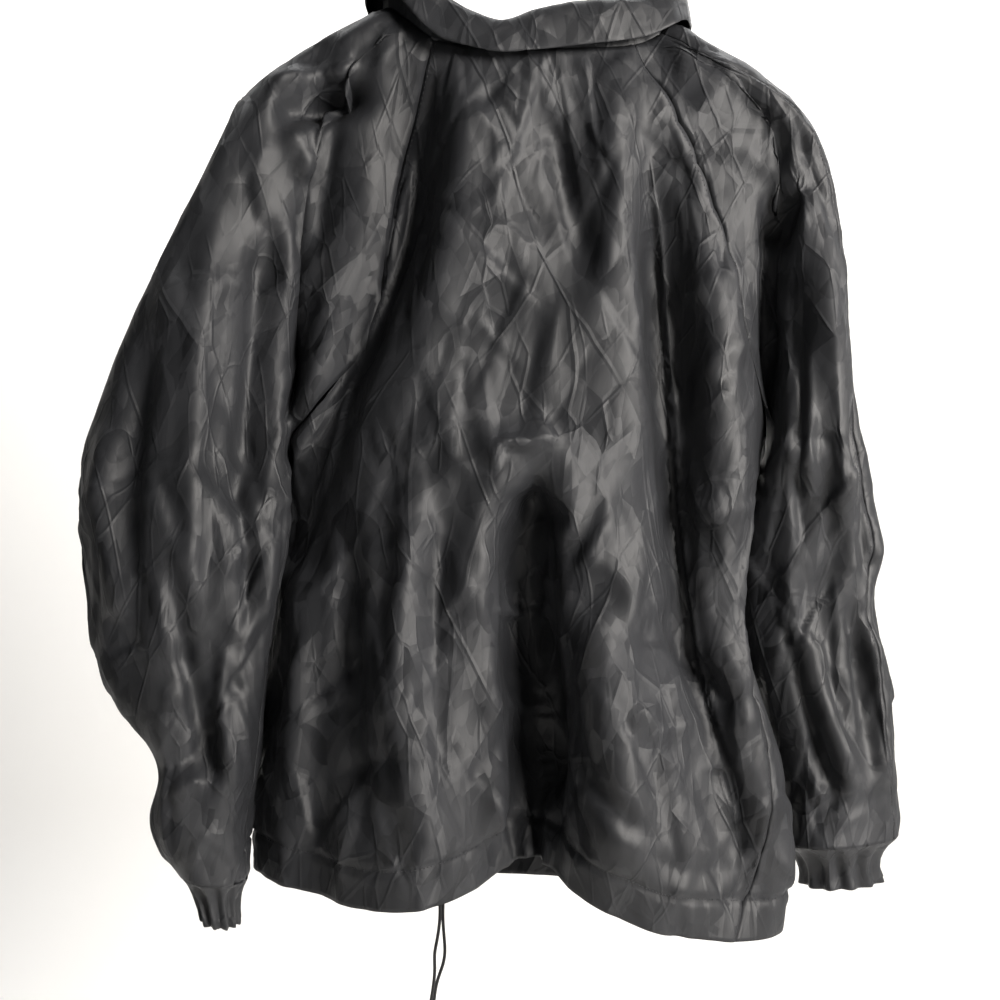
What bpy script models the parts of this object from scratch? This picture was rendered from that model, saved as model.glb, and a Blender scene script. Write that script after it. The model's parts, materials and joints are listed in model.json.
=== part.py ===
"""Windbreaker of crinkled nylon on a plain hanger, seen from its back.

Metres, +Z up. The jacket's back faces -Y and the wearer's left is at -X.
The origin is where the hanger's hook rests on a rail. Sizes below are in
millimetres, and drop is the distance below the neck seam at the back.
"""

import bisect
import math

import bmesh
import bpy
from mathutils import Vector

MM = 0.001

# Driving sizes
NECK_BELOW_HOOK = 150.0
UNDERARM_DROP = 334.0
WALL = 1.6
SEAM_GAP = 0.3
MERGE = 0.00002
FOLD_CLEARANCE = 1.4
FOLD_FLOOR = 0.3
UNDERARM_OPENING = 2.4
# Below the underarm the left sleeve hangs over the body's edge and the right one behind it
SLEEVE_OVERLAP = 8.0
EXTRA_OVERLAP = {-1: 7.0, 1: 0.0}
EXTRA_OVERLAP_END = 590.0
OVERLAP_RUN = 90.0
BODY_EDGE_SHIFT = {-1: 27.0, 1: -13.0}
SHOULDER_ROUND = 40.0
FRONT_YOKE_SHARE = 0.85
LOBE_POWER = 2.4
FOLD_FADE = 0.7
LEAN_RUN = 60.0
FOLD_LIFT = 0.45
CLOSING_START = 0.7
FOLD_TURN = 0.999
HEM_CHANNEL = 32.0
HEM_EXTRA = 1.4
PLACKET_HALF = 15.0
PLACKET_LIFT = 4.8
PLACKET_RAMP = 40.0

# Grid counts
YOKE_ROWS = 9
BODY_ROWS = 14
SLEEVE_ROWS = 15
BACK_COLUMNS = 22
FRONT_COLUMNS = 9
FOLD_COLUMNS = 2
SLEEVE_COLUMNS = 7
TURN_COLUMNS = 2

# Outline in the front view: outer sleeve edges, and the gaps between sleeves and body
OUTLINE_NAMES = ("drop", "out_left", "gap_left", "gap_right", "out_right")
OUTLINE = (
    (-53, -88, -70, 68, 76),
    (-33, -123, -88, 86, 108),
    (-13, -161, -104, 100, 141),
    (7, -194, -122, 116, 175),
    (27, -223, -138, 145, 204),
    (47, -240, -150, 172, 225),
    (68, -252, -160, 192, 240),
    (89, -264, -170, 204, 252),
    (127, -283, -181, 210, 262),
    (170, -303, -188, 209, 269),
    (213, -325, -194, 208, 276),
    (256, -345, -197, 208, 280),
    (300, -359, -200, 207, 285),
    (343, -373, -202, 204, 296),
    (386, -377, -206, 198, 306),
    (430, -372, -215, 191, 316),
    (472, -366, -222, 187, 309),
    (515, -359, -228, 191, 313),
    (558, -339, -233, 204, 317),
    (601, -304, -238, 217, 321),
    (645, -311, -241, 226, 327),
    (672, -304, -240, 228, 329),
    (690, -291, -240, 228, 321),
    (760, -256, -242, 218, 296),
)
SHOULDER_END_DROP = 127

# Depth of each lobe from the hanger's plane, and how far the sleeves lean back
DEPTH_NAMES = ("drop", "yoke", "back", "front", "sleeve_left", "sleeve_right", "lean_left", "lean_right")
DEPTH = (
    (-60, 24, 26, 24, 24, 24, 0, 0),
    (0, 40, 42, 36, 40, 40, 0, 0),
    (40, 46, 49, 38, 46, 46, 0, 0),
    (85, 42, 55, 40, 48, 48, 0, 0),
    (127, 33, 60, 42, 50, 50, -2, 2),
    (213, 16, 66, 46, 52, 52, -6, 8),
    (300, 4, 70, 50, 52, 54, -10, 14),
    (334, 0, 72, 51, 51, 54, -13, 17),
    (430, 0, 74, 54, 48, 52, -23, 24),
    (515, 0, 75, 56, 46, 50, -26, 25),
    (601, 0, 78, 58, 44, 48, -29, 24),
    (672, 0, 78, 58, 40, 44, -26, 22),
    (760, 0, 74, 56, 30, 34, -18, 20),
)

# Raglan seams, from the neck to the underarm, and the overarm seams beside them
RAGLAN_NAMES = ("share", "back_left", "back_left_drop", "back_right", "back_right_drop")
RAGLAN = (
    (0.0, -76, 7, 89, 12),
    (0.17, -88, 58, 114, 62),
    (0.34, -100, 108, 139, 112),
    (0.51, -112, 165, 161, 168),
    (0.68, -122, 222, 178, 226),
    (0.85, -150, 284, 191, 284),
    (1.0, -230, 334, 230, 334),
)
FRONT_RAGLAN_NAMES = ("share", "left", "right", "drop")
FRONT_RAGLAN = (
    (0.0, -106, 108, 12),
    (0.3, -124, 128, 108),
    (0.6, -145, 150, 206),
    (0.85, -176, 180, 286),
    (1.0, -230, 230, 334),
)
# The overarm seam lies this far round to the back, in degrees from the outline
OVERARM_NAMES = ("share", "left_drop", "right_drop", "left_turn", "right_turn")
OVERARM = (
    (0.0, -30, 0, 0, 150),
    (0.17, 8, 26, 0, 125),
    (0.34, 50, 56, 0, 84),
    (0.51, 110, 104, 0, 56),
    (0.68, 182, 176, 0, 44),
    (0.85, 258, 250, 0, 40),
    (1.0, 322, 318, 0, 40),
)
# Ends of the sleeves above the cuffs, as drops at the underarm and overarm seams
SLEEVE_END = {"left": (704.0, 690.0), "right": (686.0, 676.0)}

# Neck seam as drops across the jacket, on the back and on the front
NECK_NAMES = ("across", "drop")
NECK_BACK = (
    (-123, -33),
    (-100, -14),
    (-76, 7),
    (-40, 16),
    (0, 18),
    (50, 17),
    (89, 12),
    (111, 0),
    (122, -13),
    (129, -20),
)
NECK_FRONT = (
    (-123, -33),
    (-118, -11),
    (-106, 12),
    (-78, 46),
    (-40, 70),
    (0, 78),
    (44, 68),
    (80, 46),
    (108, 12),
    (123, -9),
    (129, -20),
)
HEM_BACK = (
    (-260, 700),
    (-194, 708),
    (-150, 713),
    (-100, 711),
    (-56, 704),
    (-22, 694),
    (7, 682),
    (32, 697),
    (65, 714),
    (99, 729),
    (140, 739),
    (186, 749),
    (240, 750),
)
HEM_FRONT = ((-260, 702), (-150, 722), (0, 728), (140, 738), (240, 746))
FRONT_EDGE_NAMES = ("drop", "across")
FRONT_EDGE = ((60, 0), (240, -14), (420, -34), (600, -56), (760, -74))
SIDE_SEAM_NAMES = ("drop", "left_turn", "right_turn")
SIDE_SEAM = ((334, 0, 0), (430, 4, 3), (560, 8, 20), (660, 9, 36), (760, 9, 40))

# Largest folds: places across at top, middle and bottom; rise is outward
# Columns: top, bottom, at_top, at_middle, at_bottom, half_width, rise
BACK_FOLDS = (
    (8, 300, -96, -94, -158, 22, -27),
    (200, 470, -130, -165, -196, 20, -18),
    (40, 230, -52, -48, -70, 34, 7),
    (60, 210, 26, 28, 40, 24, -8),
    (20, 270, 80, 76, 92, 22, 8),
    (90, 440, 104, 124, 126, 24, -36),
    (340, 760, 118, 144, 196, 24, -34),
    (150, 460, 160, 166, 168, 20, 10),
    (330, 430, -10, 14, 30, 30, 12),
    (372, 940, 12, -4, 10, 34, -52),
    (470, 740, 84, 84, 96, 42, 14),
    (420, 820, -86, -92, -110, 44, 12),
    (480, 760, -40, -46, -52, 15, -13),
    (450, 800, -150, -168, -176, 18, -15),
    (18, 70, -174, -172, -170, 26, -18),
    (82, 140, 232, 238, 240, 15, -14),
    (110, 520, -262, -282, -290, 30, 14),
    (120, 420, -222, -226, -236, 10, -8),
    (430, 640, -246, -258, -262, 14, -12),
    (250, 620, 246, 256, 262, 16, -11),
    (420, 690, 286, 290, 296, 14, -9),
)
FRONT_FOLDS = (
    (100, 800, 70, 92, 110, 34, -14),
    (220, 800, 140, 156, 168, 26, 9),
    (110, 800, -80, -104, -128, 34, -13),
    (240, 800, -150, -172, -196, 26, 8),
    (200, 660, -300, -318, -312, 24, -10),
    (200, 640, 250, 262, 272, 22, -9),
)

# Collar: rows from the neck seam up the stand, over the fold and down the fall
# Columns: outward, stand_share, fall_share
COLLAR = (
    (-2.3, 0.0, 0.0),
    (-3.0, 0.5, 0.0),
    (-1.5, 0.9, 0.0),
    (3.5, 1.0, 0.0),
    (9.0, 0.93, 0.06),
    (12.0, 0.9, 0.34),
    (13.5, 0.9, 0.68),
    (15.0, 0.9, 1.0),
)
# Heights along the neck seam, from the right front round the back to the left front
COLLAR_SIZE_NAMES = ("share", "stand", "fall")
COLLAR_SIZES = (
    (0.0, 14, 44),
    (0.1, 24, 38),
    (0.18, 32, 28),
    (0.25, 35, 29),
    (0.284, 36, 30),
    (0.371, 37, 33),
    (0.44, 36, 35),
    (0.5, 28, 32),
    (0.536, 19, 26),
    (0.57, 26, 29),
    (0.609, 36, 33),
    (0.655, 43, 26),
    (0.694, 46, 27),
    (0.75, 45, 30),
    (0.82, 34, 28),
    (0.9, 24, 38),
    (1.0, 14, 44),
)
COLLAR_COLUMNS = 44
COLLAR_FRONT_COLUMNS = 11
COLLAR_WALL = 1.8
COLLAR_SEAT = 0.6

# Cuffs: rows down the elastic band, with the share of the sleeve end's size
CUFF_NAMES = ("along", "left", "right")
CUFF = (
    (0.7, 1.0, 1.0),
    (8, 0.78, 0.8),
    (20, 0.62, 0.66),
    (32, 0.54, 0.64),
    (40, 0.52, 0.68),
)
CUFF_COLUMNS = 48
CUFF_GATHERS = 12
CUFF_WAVE = 2.6
CUFF_RAMP = 8.0
CUFF_WALL = 2.0
CUFF_AXIS = {"left": (0.16, -0.1, -0.96), "right": (0.14, 0.06, -0.95)}

# Closure, cord and hanger
SNAP_DROPS = (120, 258, 396, 534, 672)
SNAP_RADIUS = 7.5
SNAP_THICK = 2.6
SNAP_SEAT = 0.45
SNAP_TAPER = 0.86
SNAP_SEGMENTS = 16
SNAP_RAY_START = 400.0
CORD_RADIUS = 1.5
CORD_STEP = 7.0
CORD_SEAT = 0.4
# Strands of the hem cord: places across, and how far each swings back, below the hem
CORD_NAMES = ("below", "left_across", "left_swing", "right_across", "right_swing")
CORD = (
    (0.0, -79.5, 0.0, -70.0, 0.0),
    (12, -78.4, -0.2, -71.4, 0.6),
    (26, -76.4, -0.6, -73.6, 1.2),
    (44, -76.6, -0.6, -74.0, 1.4),
    (60, -78.8, -0.4, -73.0, 1.2),
    (74, -81.4, -0.2, -72.0, 1.0),
    (86, -81.0, -0.2, -74.0, 1.0),
    (100, -82.0, -0.4, -79.0, 1.2),
    (117, -84.6, -0.4, -82.0, 1.4),
    (138, -87.0, 0.0, -83.0, 1.2),
)
ARM_RADIUS = 6.0
ARM_SEAT = 1.9
ARM_REACH = (-220.0, 216.0)
ARM_SAG_START = 134.0
ARM_SAG = 9.0
ARM_SAG_SPAN = 80.0
ARM_APEX_DROP = -77.0
ARM_END_DROP = 68
ARM_POINTS = 33
HOOK_WIRE_RADIUS = 1.7
HOOK_BEND = 19.0
HOOK_TIP_TURN = 205.0
HOOK_ARC_POINTS = 16
HOOK_STEM_POINTS = 8

CLOTH_COLOUR = (0.011, 0.011, 0.012, 1.0)
CORD_COLOUR = (0.008, 0.008, 0.008, 1.0)
SNAP_COLOUR = (0.012, 0.012, 0.013, 1.0)
ARM_COLOUR = (0.75, 0.74, 0.72, 1.0)
HOOK_COLOUR = (0.6, 0.6, 0.62, 1.0)


def smooth_columns(names, rows):
    """Give one smooth function for each named column after the first."""
    keys = [row[0] for row in rows]
    last = len(rows) - 1

    def make(index):
        values = [row[index] for row in rows]
        slopes = []
        for i in range(len(rows)):
            low = max(i - 1, 0)
            high = min(i + 1, last)
            slopes.append((values[high] - values[low]) / (keys[high] - keys[low]))

        def value(at):
            place = min(max(at, keys[0]), keys[-1])
            i = min(max(bisect.bisect_right(keys, place) - 1, 0), last - 1)
            span = keys[i + 1] - keys[i]
            t = (place - keys[i]) / span
            rest = 1.0 - t
            start = values[i] + span * t * (slopes[i] + 2.0 * values[i] / span)
            end = values[i + 1] - span * rest * (slopes[i + 1] - 2.0 * values[i + 1] / span)
            return rest * rest * start + t * t * end

        return value

    return {name: make(index) for index, name in enumerate(names) if index}


def shoulder_line(column):
    """Give the drop of the shoulder's top at a place across, from the outline's upper rows."""
    index = OUTLINE_NAMES.index(column)
    upper = [row for row in OUTLINE if row[0] <= SHOULDER_END_DROP]
    rows = sorted((abs(row[index]), row[0]) for row in upper)
    return smooth_columns(("across", "drop"), rows)["drop"]


outline = smooth_columns(OUTLINE_NAMES, OUTLINE)
depth = smooth_columns(DEPTH_NAMES, DEPTH)
raglan = smooth_columns(RAGLAN_NAMES, RAGLAN)
front_raglan = smooth_columns(FRONT_RAGLAN_NAMES, FRONT_RAGLAN)
overarm = smooth_columns(OVERARM_NAMES, OVERARM)
neck_back = smooth_columns(NECK_NAMES, NECK_BACK)["drop"]
neck_front = smooth_columns(NECK_NAMES, NECK_FRONT)["drop"]
hem_back = smooth_columns(NECK_NAMES, HEM_BACK)["drop"]
hem_front = smooth_columns(NECK_NAMES, HEM_FRONT)["drop"]
front_edge = smooth_columns(FRONT_EDGE_NAMES, FRONT_EDGE)["across"]
side_seam = smooth_columns(SIDE_SEAM_NAMES, SIDE_SEAM)
collar_sizes = smooth_columns(COLLAR_SIZE_NAMES, COLLAR_SIZES)
cord_path = smooth_columns(CORD_NAMES, CORD)
shoulder = {-1: shoulder_line("out_left"), 1: shoulder_line("out_right")}


def mix(a, b, share):
    return a + (b - a) * share


def ease(share):
    held = min(max(share, 0.0), 1.0)
    return held * held * (3.0 - 2.0 * held)


def lobe(x, low, high):
    """Rounded section of a hanging tube: 1 in its middle and 0 at its two edges."""
    u = abs(2.0 * x - low - high) / max(high - low, 1.0)
    return math.sqrt(max(0.0, 1.0 - u**LOBE_POWER))


def fold_rise(x, drop, folds):
    """Sum of the folds at a place on one side of the jacket."""
    total = 0.0
    for top, bottom, at_top, at_middle, at_bottom, half_width, rise in folds:
        t = (drop - top) / (bottom - top)
        if not 0.0 < t < 1.0:
            continue
        rest = 1.0 - t
        path = at_top * rest * (rest - t) + 4.0 * at_middle * t * rest + at_bottom * t * (t - rest)
        fade = math.sin(math.pi * t) ** FOLD_FADE
        total += rise * fade * math.exp(-(((x - path) / half_width) ** 2))
    return total


def body_edges(drop):
    low = outline["gap_left"](drop) + FOLD_CLEARANCE
    high = outline["gap_right"](drop) - FOLD_CLEARANCE
    return low, high


def overlap_share(drop):
    """How far the sleeves have come to lie over and under the body's edges."""
    return ease((drop - UNDERARM_DROP) / OVERLAP_RUN)


def sleeve_edges(side, drop):
    extra = EXTRA_OVERLAP[side] * (1.0 - ease((drop - EXTRA_OVERLAP_END) / OVERLAP_RUN))
    reach = (SLEEVE_OVERLAP + extra) * overlap_share(drop) - FOLD_CLEARANCE
    if side < 0:
        return outline["out_left"](drop), outline["gap_left"](drop) + reach
    return outline["gap_right"](drop) - reach, outline["out_right"](drop)


def tube_at(x, drop):
    """Which tube a place across belongs to: 0 for the body, else the side of the sleeve."""
    low, high = body_edges(drop)
    if low <= x <= high:
        return 0
    return -1 if x < low else 1


def height(x, drop, sheet, tube):
    """Distance of the cloth from the hanger's plane, on the back or on the front."""
    yoke = max(0.0, depth["yoke"](drop))
    if tube == 0:
        share = lobe(x, *body_edges(drop))
        full = depth[sheet](drop)
    else:
        share = lobe(x, *sleeve_edges(tube, drop))
        full = depth["sleeve_left" if tube < 0 else "sleeve_right"](drop)
    if sheet == "front":
        yoke *= FRONT_YOKE_SHARE
    rise = ((full * share) ** 4 + yoke**4) ** 0.25
    below = drop - shoulder[-1 if x < 0 else 1](abs(x))
    round_off = math.sqrt(max(0.0, 1.0 - (1.0 - min(max(below / SHOULDER_ROUND, 0.0), 1.0)) ** 2))
    folds = fold_rise(x, drop, BACK_FOLDS if sheet == "back" else FRONT_FOLDS)
    return max(rise + folds * math.sqrt(share), FOLD_FLOOR * rise) * round_off


def sheet_point(x, drop, sheet, tube=None):
    y = height(x, drop, sheet, tube_at(x, drop) if tube is None else tube)
    return Vector((x, -y if sheet == "back" else y, -drop))


def body_point(angle, drop):
    """Point of the body's tube: angle 0 is its right edge, negative angles are the back."""
    low, high = body_edges(drop)
    x = (low + high) / 2.0 + (high - low) / 2.0 * math.cos(angle)
    point = sheet_point(min(max(x, low), high), drop, "back" if math.sin(angle) < 0.0 else "front", 0)
    edge = 1.0 - lobe(point.x, low, high)
    point.y += BODY_EDGE_SHIFT[-1 if math.cos(angle) < 0.0 else 1] * overlap_share(drop) * edge
    return point


def sleeve_point(side, angle, drop):
    """Point of a sleeve's tube: angle 0 is its outer edge, negative angles are the back."""
    low, high = sleeve_edges(side, drop)
    x = (low + high) / 2.0 + side * (high - low) / 2.0 * math.cos(angle)
    point = sheet_point(min(max(x, low), high), drop, "back" if math.sin(angle) < 0.0 else "front", side)
    lean = depth["lean_left" if side < 0 else "lean_right"](drop)
    across = abs(point.x - (high if side < 0 else low)) / (high - low)
    if drop >= UNDERARM_DROP:
        across = max(across, ease((drop - UNDERARM_DROP) / LEAN_RUN))
    point.y += lean * ease(across)
    return point


def raglan_place(side, share):
    """Place of the back raglan seam, held to the body's edge."""
    name = "back_left" if side < 0 else "back_right"
    drop = raglan[name + "_drop"](share)
    low, high = body_edges(drop)
    return min(max(raglan[name](share), low), high), drop


def front_raglan_place(side, share):
    drop = front_raglan["drop"](share)
    low, high = body_edges(drop)
    return min(max(front_raglan["left" if side < 0 else "right"](share), low), high), drop


def seam_angle(side, drop):
    """Angle of the side seam round the body's tube."""
    turn = math.radians(side_seam["left_turn" if side < 0 else "right_turn"](drop))
    return -math.pi + turn if side < 0 else -turn


def edge_angle(x, drop):
    """Angle on the front of the body's tube at a place across."""
    low, high = body_edges(drop)
    return math.acos(min(max((2.0 * x - low - high) / (high - low), -1.0), 1.0))


def lower_row(angles, share):
    """Row of the body's tube between the underarm and the hem."""
    row = []
    for angle in angles:
        drop = UNDERARM_DROP
        for _ in range(3):
            low, high = body_edges(drop)
            x = (low + high) / 2.0 + (high - low) / 2.0 * math.cos(angle)
            on_back = 0.5 - 0.5 * math.sin(angle)
            end = mix(hem_front(x), hem_back(x), ease(on_back * 2.0 - 0.5))
            drop = mix(UNDERARM_DROP, end, share)
        row.append(body_point(angle, drop))
    return row


def back_grid():
    rows = []
    for i in range(YOKE_ROWS):
        share = i / YOKE_ROWS
        left, left_drop = raglan_place(-1, share)
        right, right_drop = raglan_place(1, share)
        row = []
        for k in range(BACK_COLUMNS + 1):
            u = k / BACK_COLUMNS
            u = mix(u, (1.0 - math.cos(math.pi * u)) / 2.0, share * share)
            x = mix(left, right, u)
            neck_x = mix(raglan["back_left"](0), raglan["back_right"](0), u)
            neck_bow = neck_back(neck_x) - mix(raglan["back_left_drop"](0), raglan["back_right_drop"](0), u)
            drop = mix(left_drop, right_drop, u) + neck_bow * (1.0 - share)
            row.append(sheet_point(x, drop, "back"))
        rows.append(row)
    for j in range(BODY_ROWS + 1):
        share = j / BODY_ROWS
        level = mix(UNDERARM_DROP, hem_back(0), share)
        start = seam_angle(-1, level)
        end = seam_angle(1, level)
        angles = [mix(start, end, k / BACK_COLUMNS) for k in range(BACK_COLUMNS + 1)]
        rows.append(lower_row(angles, share))
    return rows


def placket_lift(side, row):
    """Raise the left front where it lies over the right one."""
    if side > 0:
        return row
    for point in row:
        near = front_edge(-point.z) + PLACKET_HALF - point.x
        if point.y > 0.0:
            point.y += PLACKET_LIFT * ease(1.0 - (near - 2.0 * PLACKET_HALF) / PLACKET_RAMP)
    return row


def front_grid(side):
    """Rows run from the front edge to the raglan seam, and below it to the side seam."""
    reach = -side * PLACKET_HALF
    neck_edge = front_edge(0) + reach
    rows = []
    for i in range(YOKE_ROWS):
        share = i / YOKE_ROWS
        seam_x, seam_drop = front_raglan_place(side, share)
        neck_seam_x = front_raglan_place(side, 0)[0]
        edge_drop = mix(neck_front(neck_edge), UNDERARM_DROP, share)
        row = []
        for k in range(FRONT_COLUMNS + 1):
            u = k / FRONT_COLUMNS
            u = mix(u, math.sin(math.pi / 2.0 * u), share * share)
            neck_x = mix(neck_edge, neck_seam_x, u)
            straight = mix(neck_front(neck_edge), neck_front(neck_seam_x), u)
            drop = mix(edge_drop, seam_drop, u) + (neck_front(neck_x) - straight) * (1.0 - share)
            x = mix(front_edge(drop) + reach, seam_x, u)
            row.append(sheet_point(x, drop, "front"))
        rows.append(placket_lift(side, row))
    for j in range(BODY_ROWS + 1):
        share = j / BODY_ROWS
        level = mix(UNDERARM_DROP, hem_back(0), share)
        edge_level = mix(UNDERARM_DROP, hem_front(0), share)
        start = edge_angle(front_edge(edge_level) + reach, edge_level)
        end = seam_angle(side, level)
        if side < 0:
            end += 2.0 * math.pi
        angles = [mix(start, end, k / FRONT_COLUMNS) for k in range(FRONT_COLUMNS + 1)]
        rows.append(placket_lift(side, lower_row(angles, share)))
    return rows


def overarm_angle(side, share):
    return -math.radians(overarm["left_turn" if side < 0 else "right_turn"](share))


def sleeve_angles(start, end, columns):
    """Angles round a sleeve, with one on its outline where the seam lies behind that."""
    if start < 0.0 or end == 0.0:
        return [mix(start, end, k / columns) for k in range(columns + 1)]
    before = columns - TURN_COLUMNS
    angles = [mix(start, 0.0, k / before) for k in range(before + 1)]
    return angles + [mix(0.0, end, k / TURN_COLUMNS) for k in range(1, TURN_COLUMNS + 1)]


def neck_row(side, sheet):
    """Neck edge of a sleeve half: the back half ends where the overarm seam starts."""
    count = FOLD_COLUMNS + SLEEVE_COLUMNS + 1
    start = raglan_place(side, 0)[0] if sheet == "back" else front_raglan_place(side, 0)[0]
    side_x = NECK_BACK[0][0] if side < 0 else NECK_BACK[-1][0]
    seam_x = side_x if side < 0 else NECK_BACK[-3][0]
    if sheet == "back":
        places = [mix(start, seam_x, k / count) for k in range(count + 1)]
        return [sheet_point(x, neck_back(x), "back") for x in places]
    turn = count if side < 0 else count - TURN_COLUMNS
    places = [mix(start, side_x, k / turn) for k in range(turn + 1)]
    row = [sheet_point(x, neck_front(x), "front") for x in places]
    for k in range(1, count - turn + 1):
        x = mix(side_x, seam_x, k / (count - turn))
        row.append(sheet_point(x, neck_back(x), "back"))
    return row


def sleeve_grid(side, sheet):
    """Rows run from the raglan or underarm seam, over the fold, to the overarm seam."""
    on_back = sheet == "back"
    sign = -1.0 if on_back else 1.0
    over_name = "left_drop" if side < 0 else "right_drop"
    count = FOLD_COLUMNS + SLEEVE_COLUMNS + 1
    inner_angle = mix(math.pi, 0.0, (FOLD_COLUMNS + 1) / count)
    rows = [neck_row(side, sheet)]
    for i in range(1, YOKE_ROWS):
        share = i / YOKE_ROWS
        seam_x, seam_drop = raglan_place(side, share) if on_back else front_raglan_place(side, share)
        end_drop = overarm[over_name](share)
        closing = ease((share - CLOSING_START) / (1.0 - CLOSING_START))
        fold_drop = mix(seam_drop, end_drop, mix(FOLD_LIFT, 0.0, closing))
        row = []
        edge_x = body_edges(seam_drop)[0 if side < 0 else 1]
        opening = 0.0
        if i == YOKE_ROWS - 1:
            opening = UNDERARM_OPENING / max(abs(edge_x - seam_x), UNDERARM_OPENING)
        for k in range(FOLD_COLUMNS + 1):
            u = mix(opening, 1.0, math.sin(math.pi / 2.0 * k / FOLD_COLUMNS))
            drop = mix(seam_drop, fold_drop, k / FOLD_COLUMNS)
            fold_x = body_edges(drop)[0 if side < 0 else 1]
            row.append(sheet_point(mix(seam_x, fold_x, u), drop, sheet))
        start = sign * mix(math.pi * FOLD_TURN, inner_angle, closing)
        end = overarm_angle(side, share)
        for k, angle in enumerate(sleeve_angles(start, end, SLEEVE_COLUMNS)):
            row.append(sleeve_point(side, angle, mix(fold_drop, end_drop, k / SLEEVE_COLUMNS)))
        rows.append(row)
    angles = sleeve_angles(sign * math.pi, overarm_angle(side, 1), count)
    seam_end, over_end = SLEEVE_END["left" if side < 0 else "right"]
    for j in range(SLEEVE_ROWS + 1):
        share = j / SLEEVE_ROWS
        seam_drop = mix(UNDERARM_DROP, seam_end, share)
        over_drop = mix(overarm[over_name](1), over_end, share)
        row = []
        for k, angle in enumerate(angles):
            row.append(sleeve_point(side, angle, mix(seam_drop, over_drop, k / count)))
        rows.append(row)
    return rows


def place_key(point):
    return tuple(round(value, 2) for value in point)


def shared_normals(grids, settled=None):
    """Normals of panels joined at their seams. Those of panels that were done before are kept."""
    kept = settled or {}
    sums = {}
    for rows, flip in grids:
        for upper, lower in zip(rows, rows[1:]):
            for k in range(len(upper) - 1):
                corners = (upper[k], upper[k + 1], lower[k + 1], lower[k])
                across = (corners[2] - corners[0]).cross(corners[3] - corners[1])
                for corner in corners:
                    key = place_key(corner)
                    sums[key] = sums.get(key, Vector((0, 0, 0))) + across * flip
    return {**sums, **kept}


def normal_at(normals, point):
    return normals[place_key(point)].normalized()


def inset_edges(rows):
    """Move both seam edges of a grid inwards by half the seam gap."""
    half = SEAM_GAP / 2.0
    moved = [[point.copy() for point in row] for row in rows]
    for source, target in zip(rows, moved):
        for edge, inner in ((0, 1), (-1, -2)):
            way = source[inner] - source[edge]
            if way.length > half:
                target[edge] += way.normalized() * half
    return moved


def material(name, colour, roughness, metallic=0.0):
    made = bpy.data.materials.new(name)
    made.use_nodes = True
    shader = made.node_tree.nodes["Principled BSDF"]
    shader.inputs["Base Color"].default_value = colour
    shader.inputs["Roughness"].default_value = roughness
    shader.inputs["Metallic"].default_value = metallic
    return made


def to_frame(point):
    return Vector((point.x, point.y, point.z - NECK_BELOW_HOOK)) * MM


def add_object(name, data, finish):
    made = bpy.data.objects.new(name, data)
    data.materials.append(finish)
    bpy.context.scene.collection.objects.link(made)
    return made


def wall_mesh(name, outer, inner, closed=False):
    """Closed wall between two grids of points. A closed grid runs right round."""
    shape = bmesh.new()
    skins = []
    for grid in (outer, inner):
        skins.append([[shape.verts.new(to_frame(point)) for point in row] for row in grid])
    columns = len(outer[0])
    last = len(outer) - 1
    pairs = [(k, (k + 1) % columns) for k in range(columns if closed else columns - 1)]
    for i in range(last):
        for k, after in pairs:
            for skin in skins:
                shape.faces.new((skin[i][k], skin[i][after], skin[i + 1][after], skin[i + 1][k]))
    for i in (0, last):
        for k, after in pairs:
            shape.faces.new((skins[0][i][k], skins[0][i][after], skins[1][i][after], skins[1][i][k]))
    if not closed:
        for k in (0, columns - 1):
            for i in range(last):
                shape.faces.new((skins[0][i][k], skins[0][i + 1][k], skins[1][i + 1][k], skins[1][i][k]))
    bmesh.ops.remove_doubles(shape, verts=shape.verts, dist=MERGE)
    bmesh.ops.triangulate(shape, faces=shape.faces)
    bmesh.ops.recalc_face_normals(shape, faces=shape.faces)
    if shape.calc_volume(signed=True) < 0.0:
        bmesh.ops.reverse_faces(shape, faces=shape.faces)
    mesh = bpy.data.meshes.new(name)
    shape.to_mesh(mesh)
    shape.free()
    mesh.shade_smooth()
    return mesh


def cloth_panel(name, rows, normals, finish):
    """Wall of one panel. Its turned-up hem, if it has one, is thicker towards the inside."""
    outer = inset_edges(rows)
    has_hem = "sleeve" not in name
    inner = []
    for row, moved in zip(rows, outer):
        inner_row = []
        for k, (plain, point) in enumerate(zip(row, moved)):
            above_hem = plain.z - rows[-1][k].z
            thick = WALL
            if has_hem and above_hem < HEM_CHANNEL:
                thick += HEM_EXTRA
            inner_row.append(point - normal_at(normals, plain) * thick)
        inner.append(inner_row)
    return add_object(name, wall_mesh(name, outer, inner), finish)


def resample(points, count, closed=False):
    """Points at even steps along a run of points."""
    run = points + points[:1] if closed else points
    lengths = [0.0]
    for a, b in zip(run, run[1:]):
        lengths.append(lengths[-1] + (b - a).length)
    steps = count if closed else count - 1
    found = []
    for i in range(count):
        at = lengths[-1] * i / steps
        k = min(max(bisect.bisect_right(lengths, at) - 1, 0), len(run) - 2)
        share = (at - lengths[k]) / max(lengths[k + 1] - lengths[k], MERGE)
        found.append(run[k].lerp(run[k + 1], share))
    return found


def neck_run(grids):
    """Neck edge of the jacket, from the middle of the right front round to the left front."""
    middle = front_edge(0)
    right = [p for p in grids["front_right"][0] if p.x > middle]
    left = [p for p in grids["front_left"][0] if p.x < middle]
    run = right
    run = run + grids["sleeve_front_right"][0][1:]
    run = run + grids["sleeve_back_right"][0][-2::-1]
    run = run + grids["back"][0][-2::-1]
    run = run + grids["sleeve_back_left"][0][1:]
    run = run + grids["sleeve_front_left"][0][-2::-1]
    return run + left[-2::-1]


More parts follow.
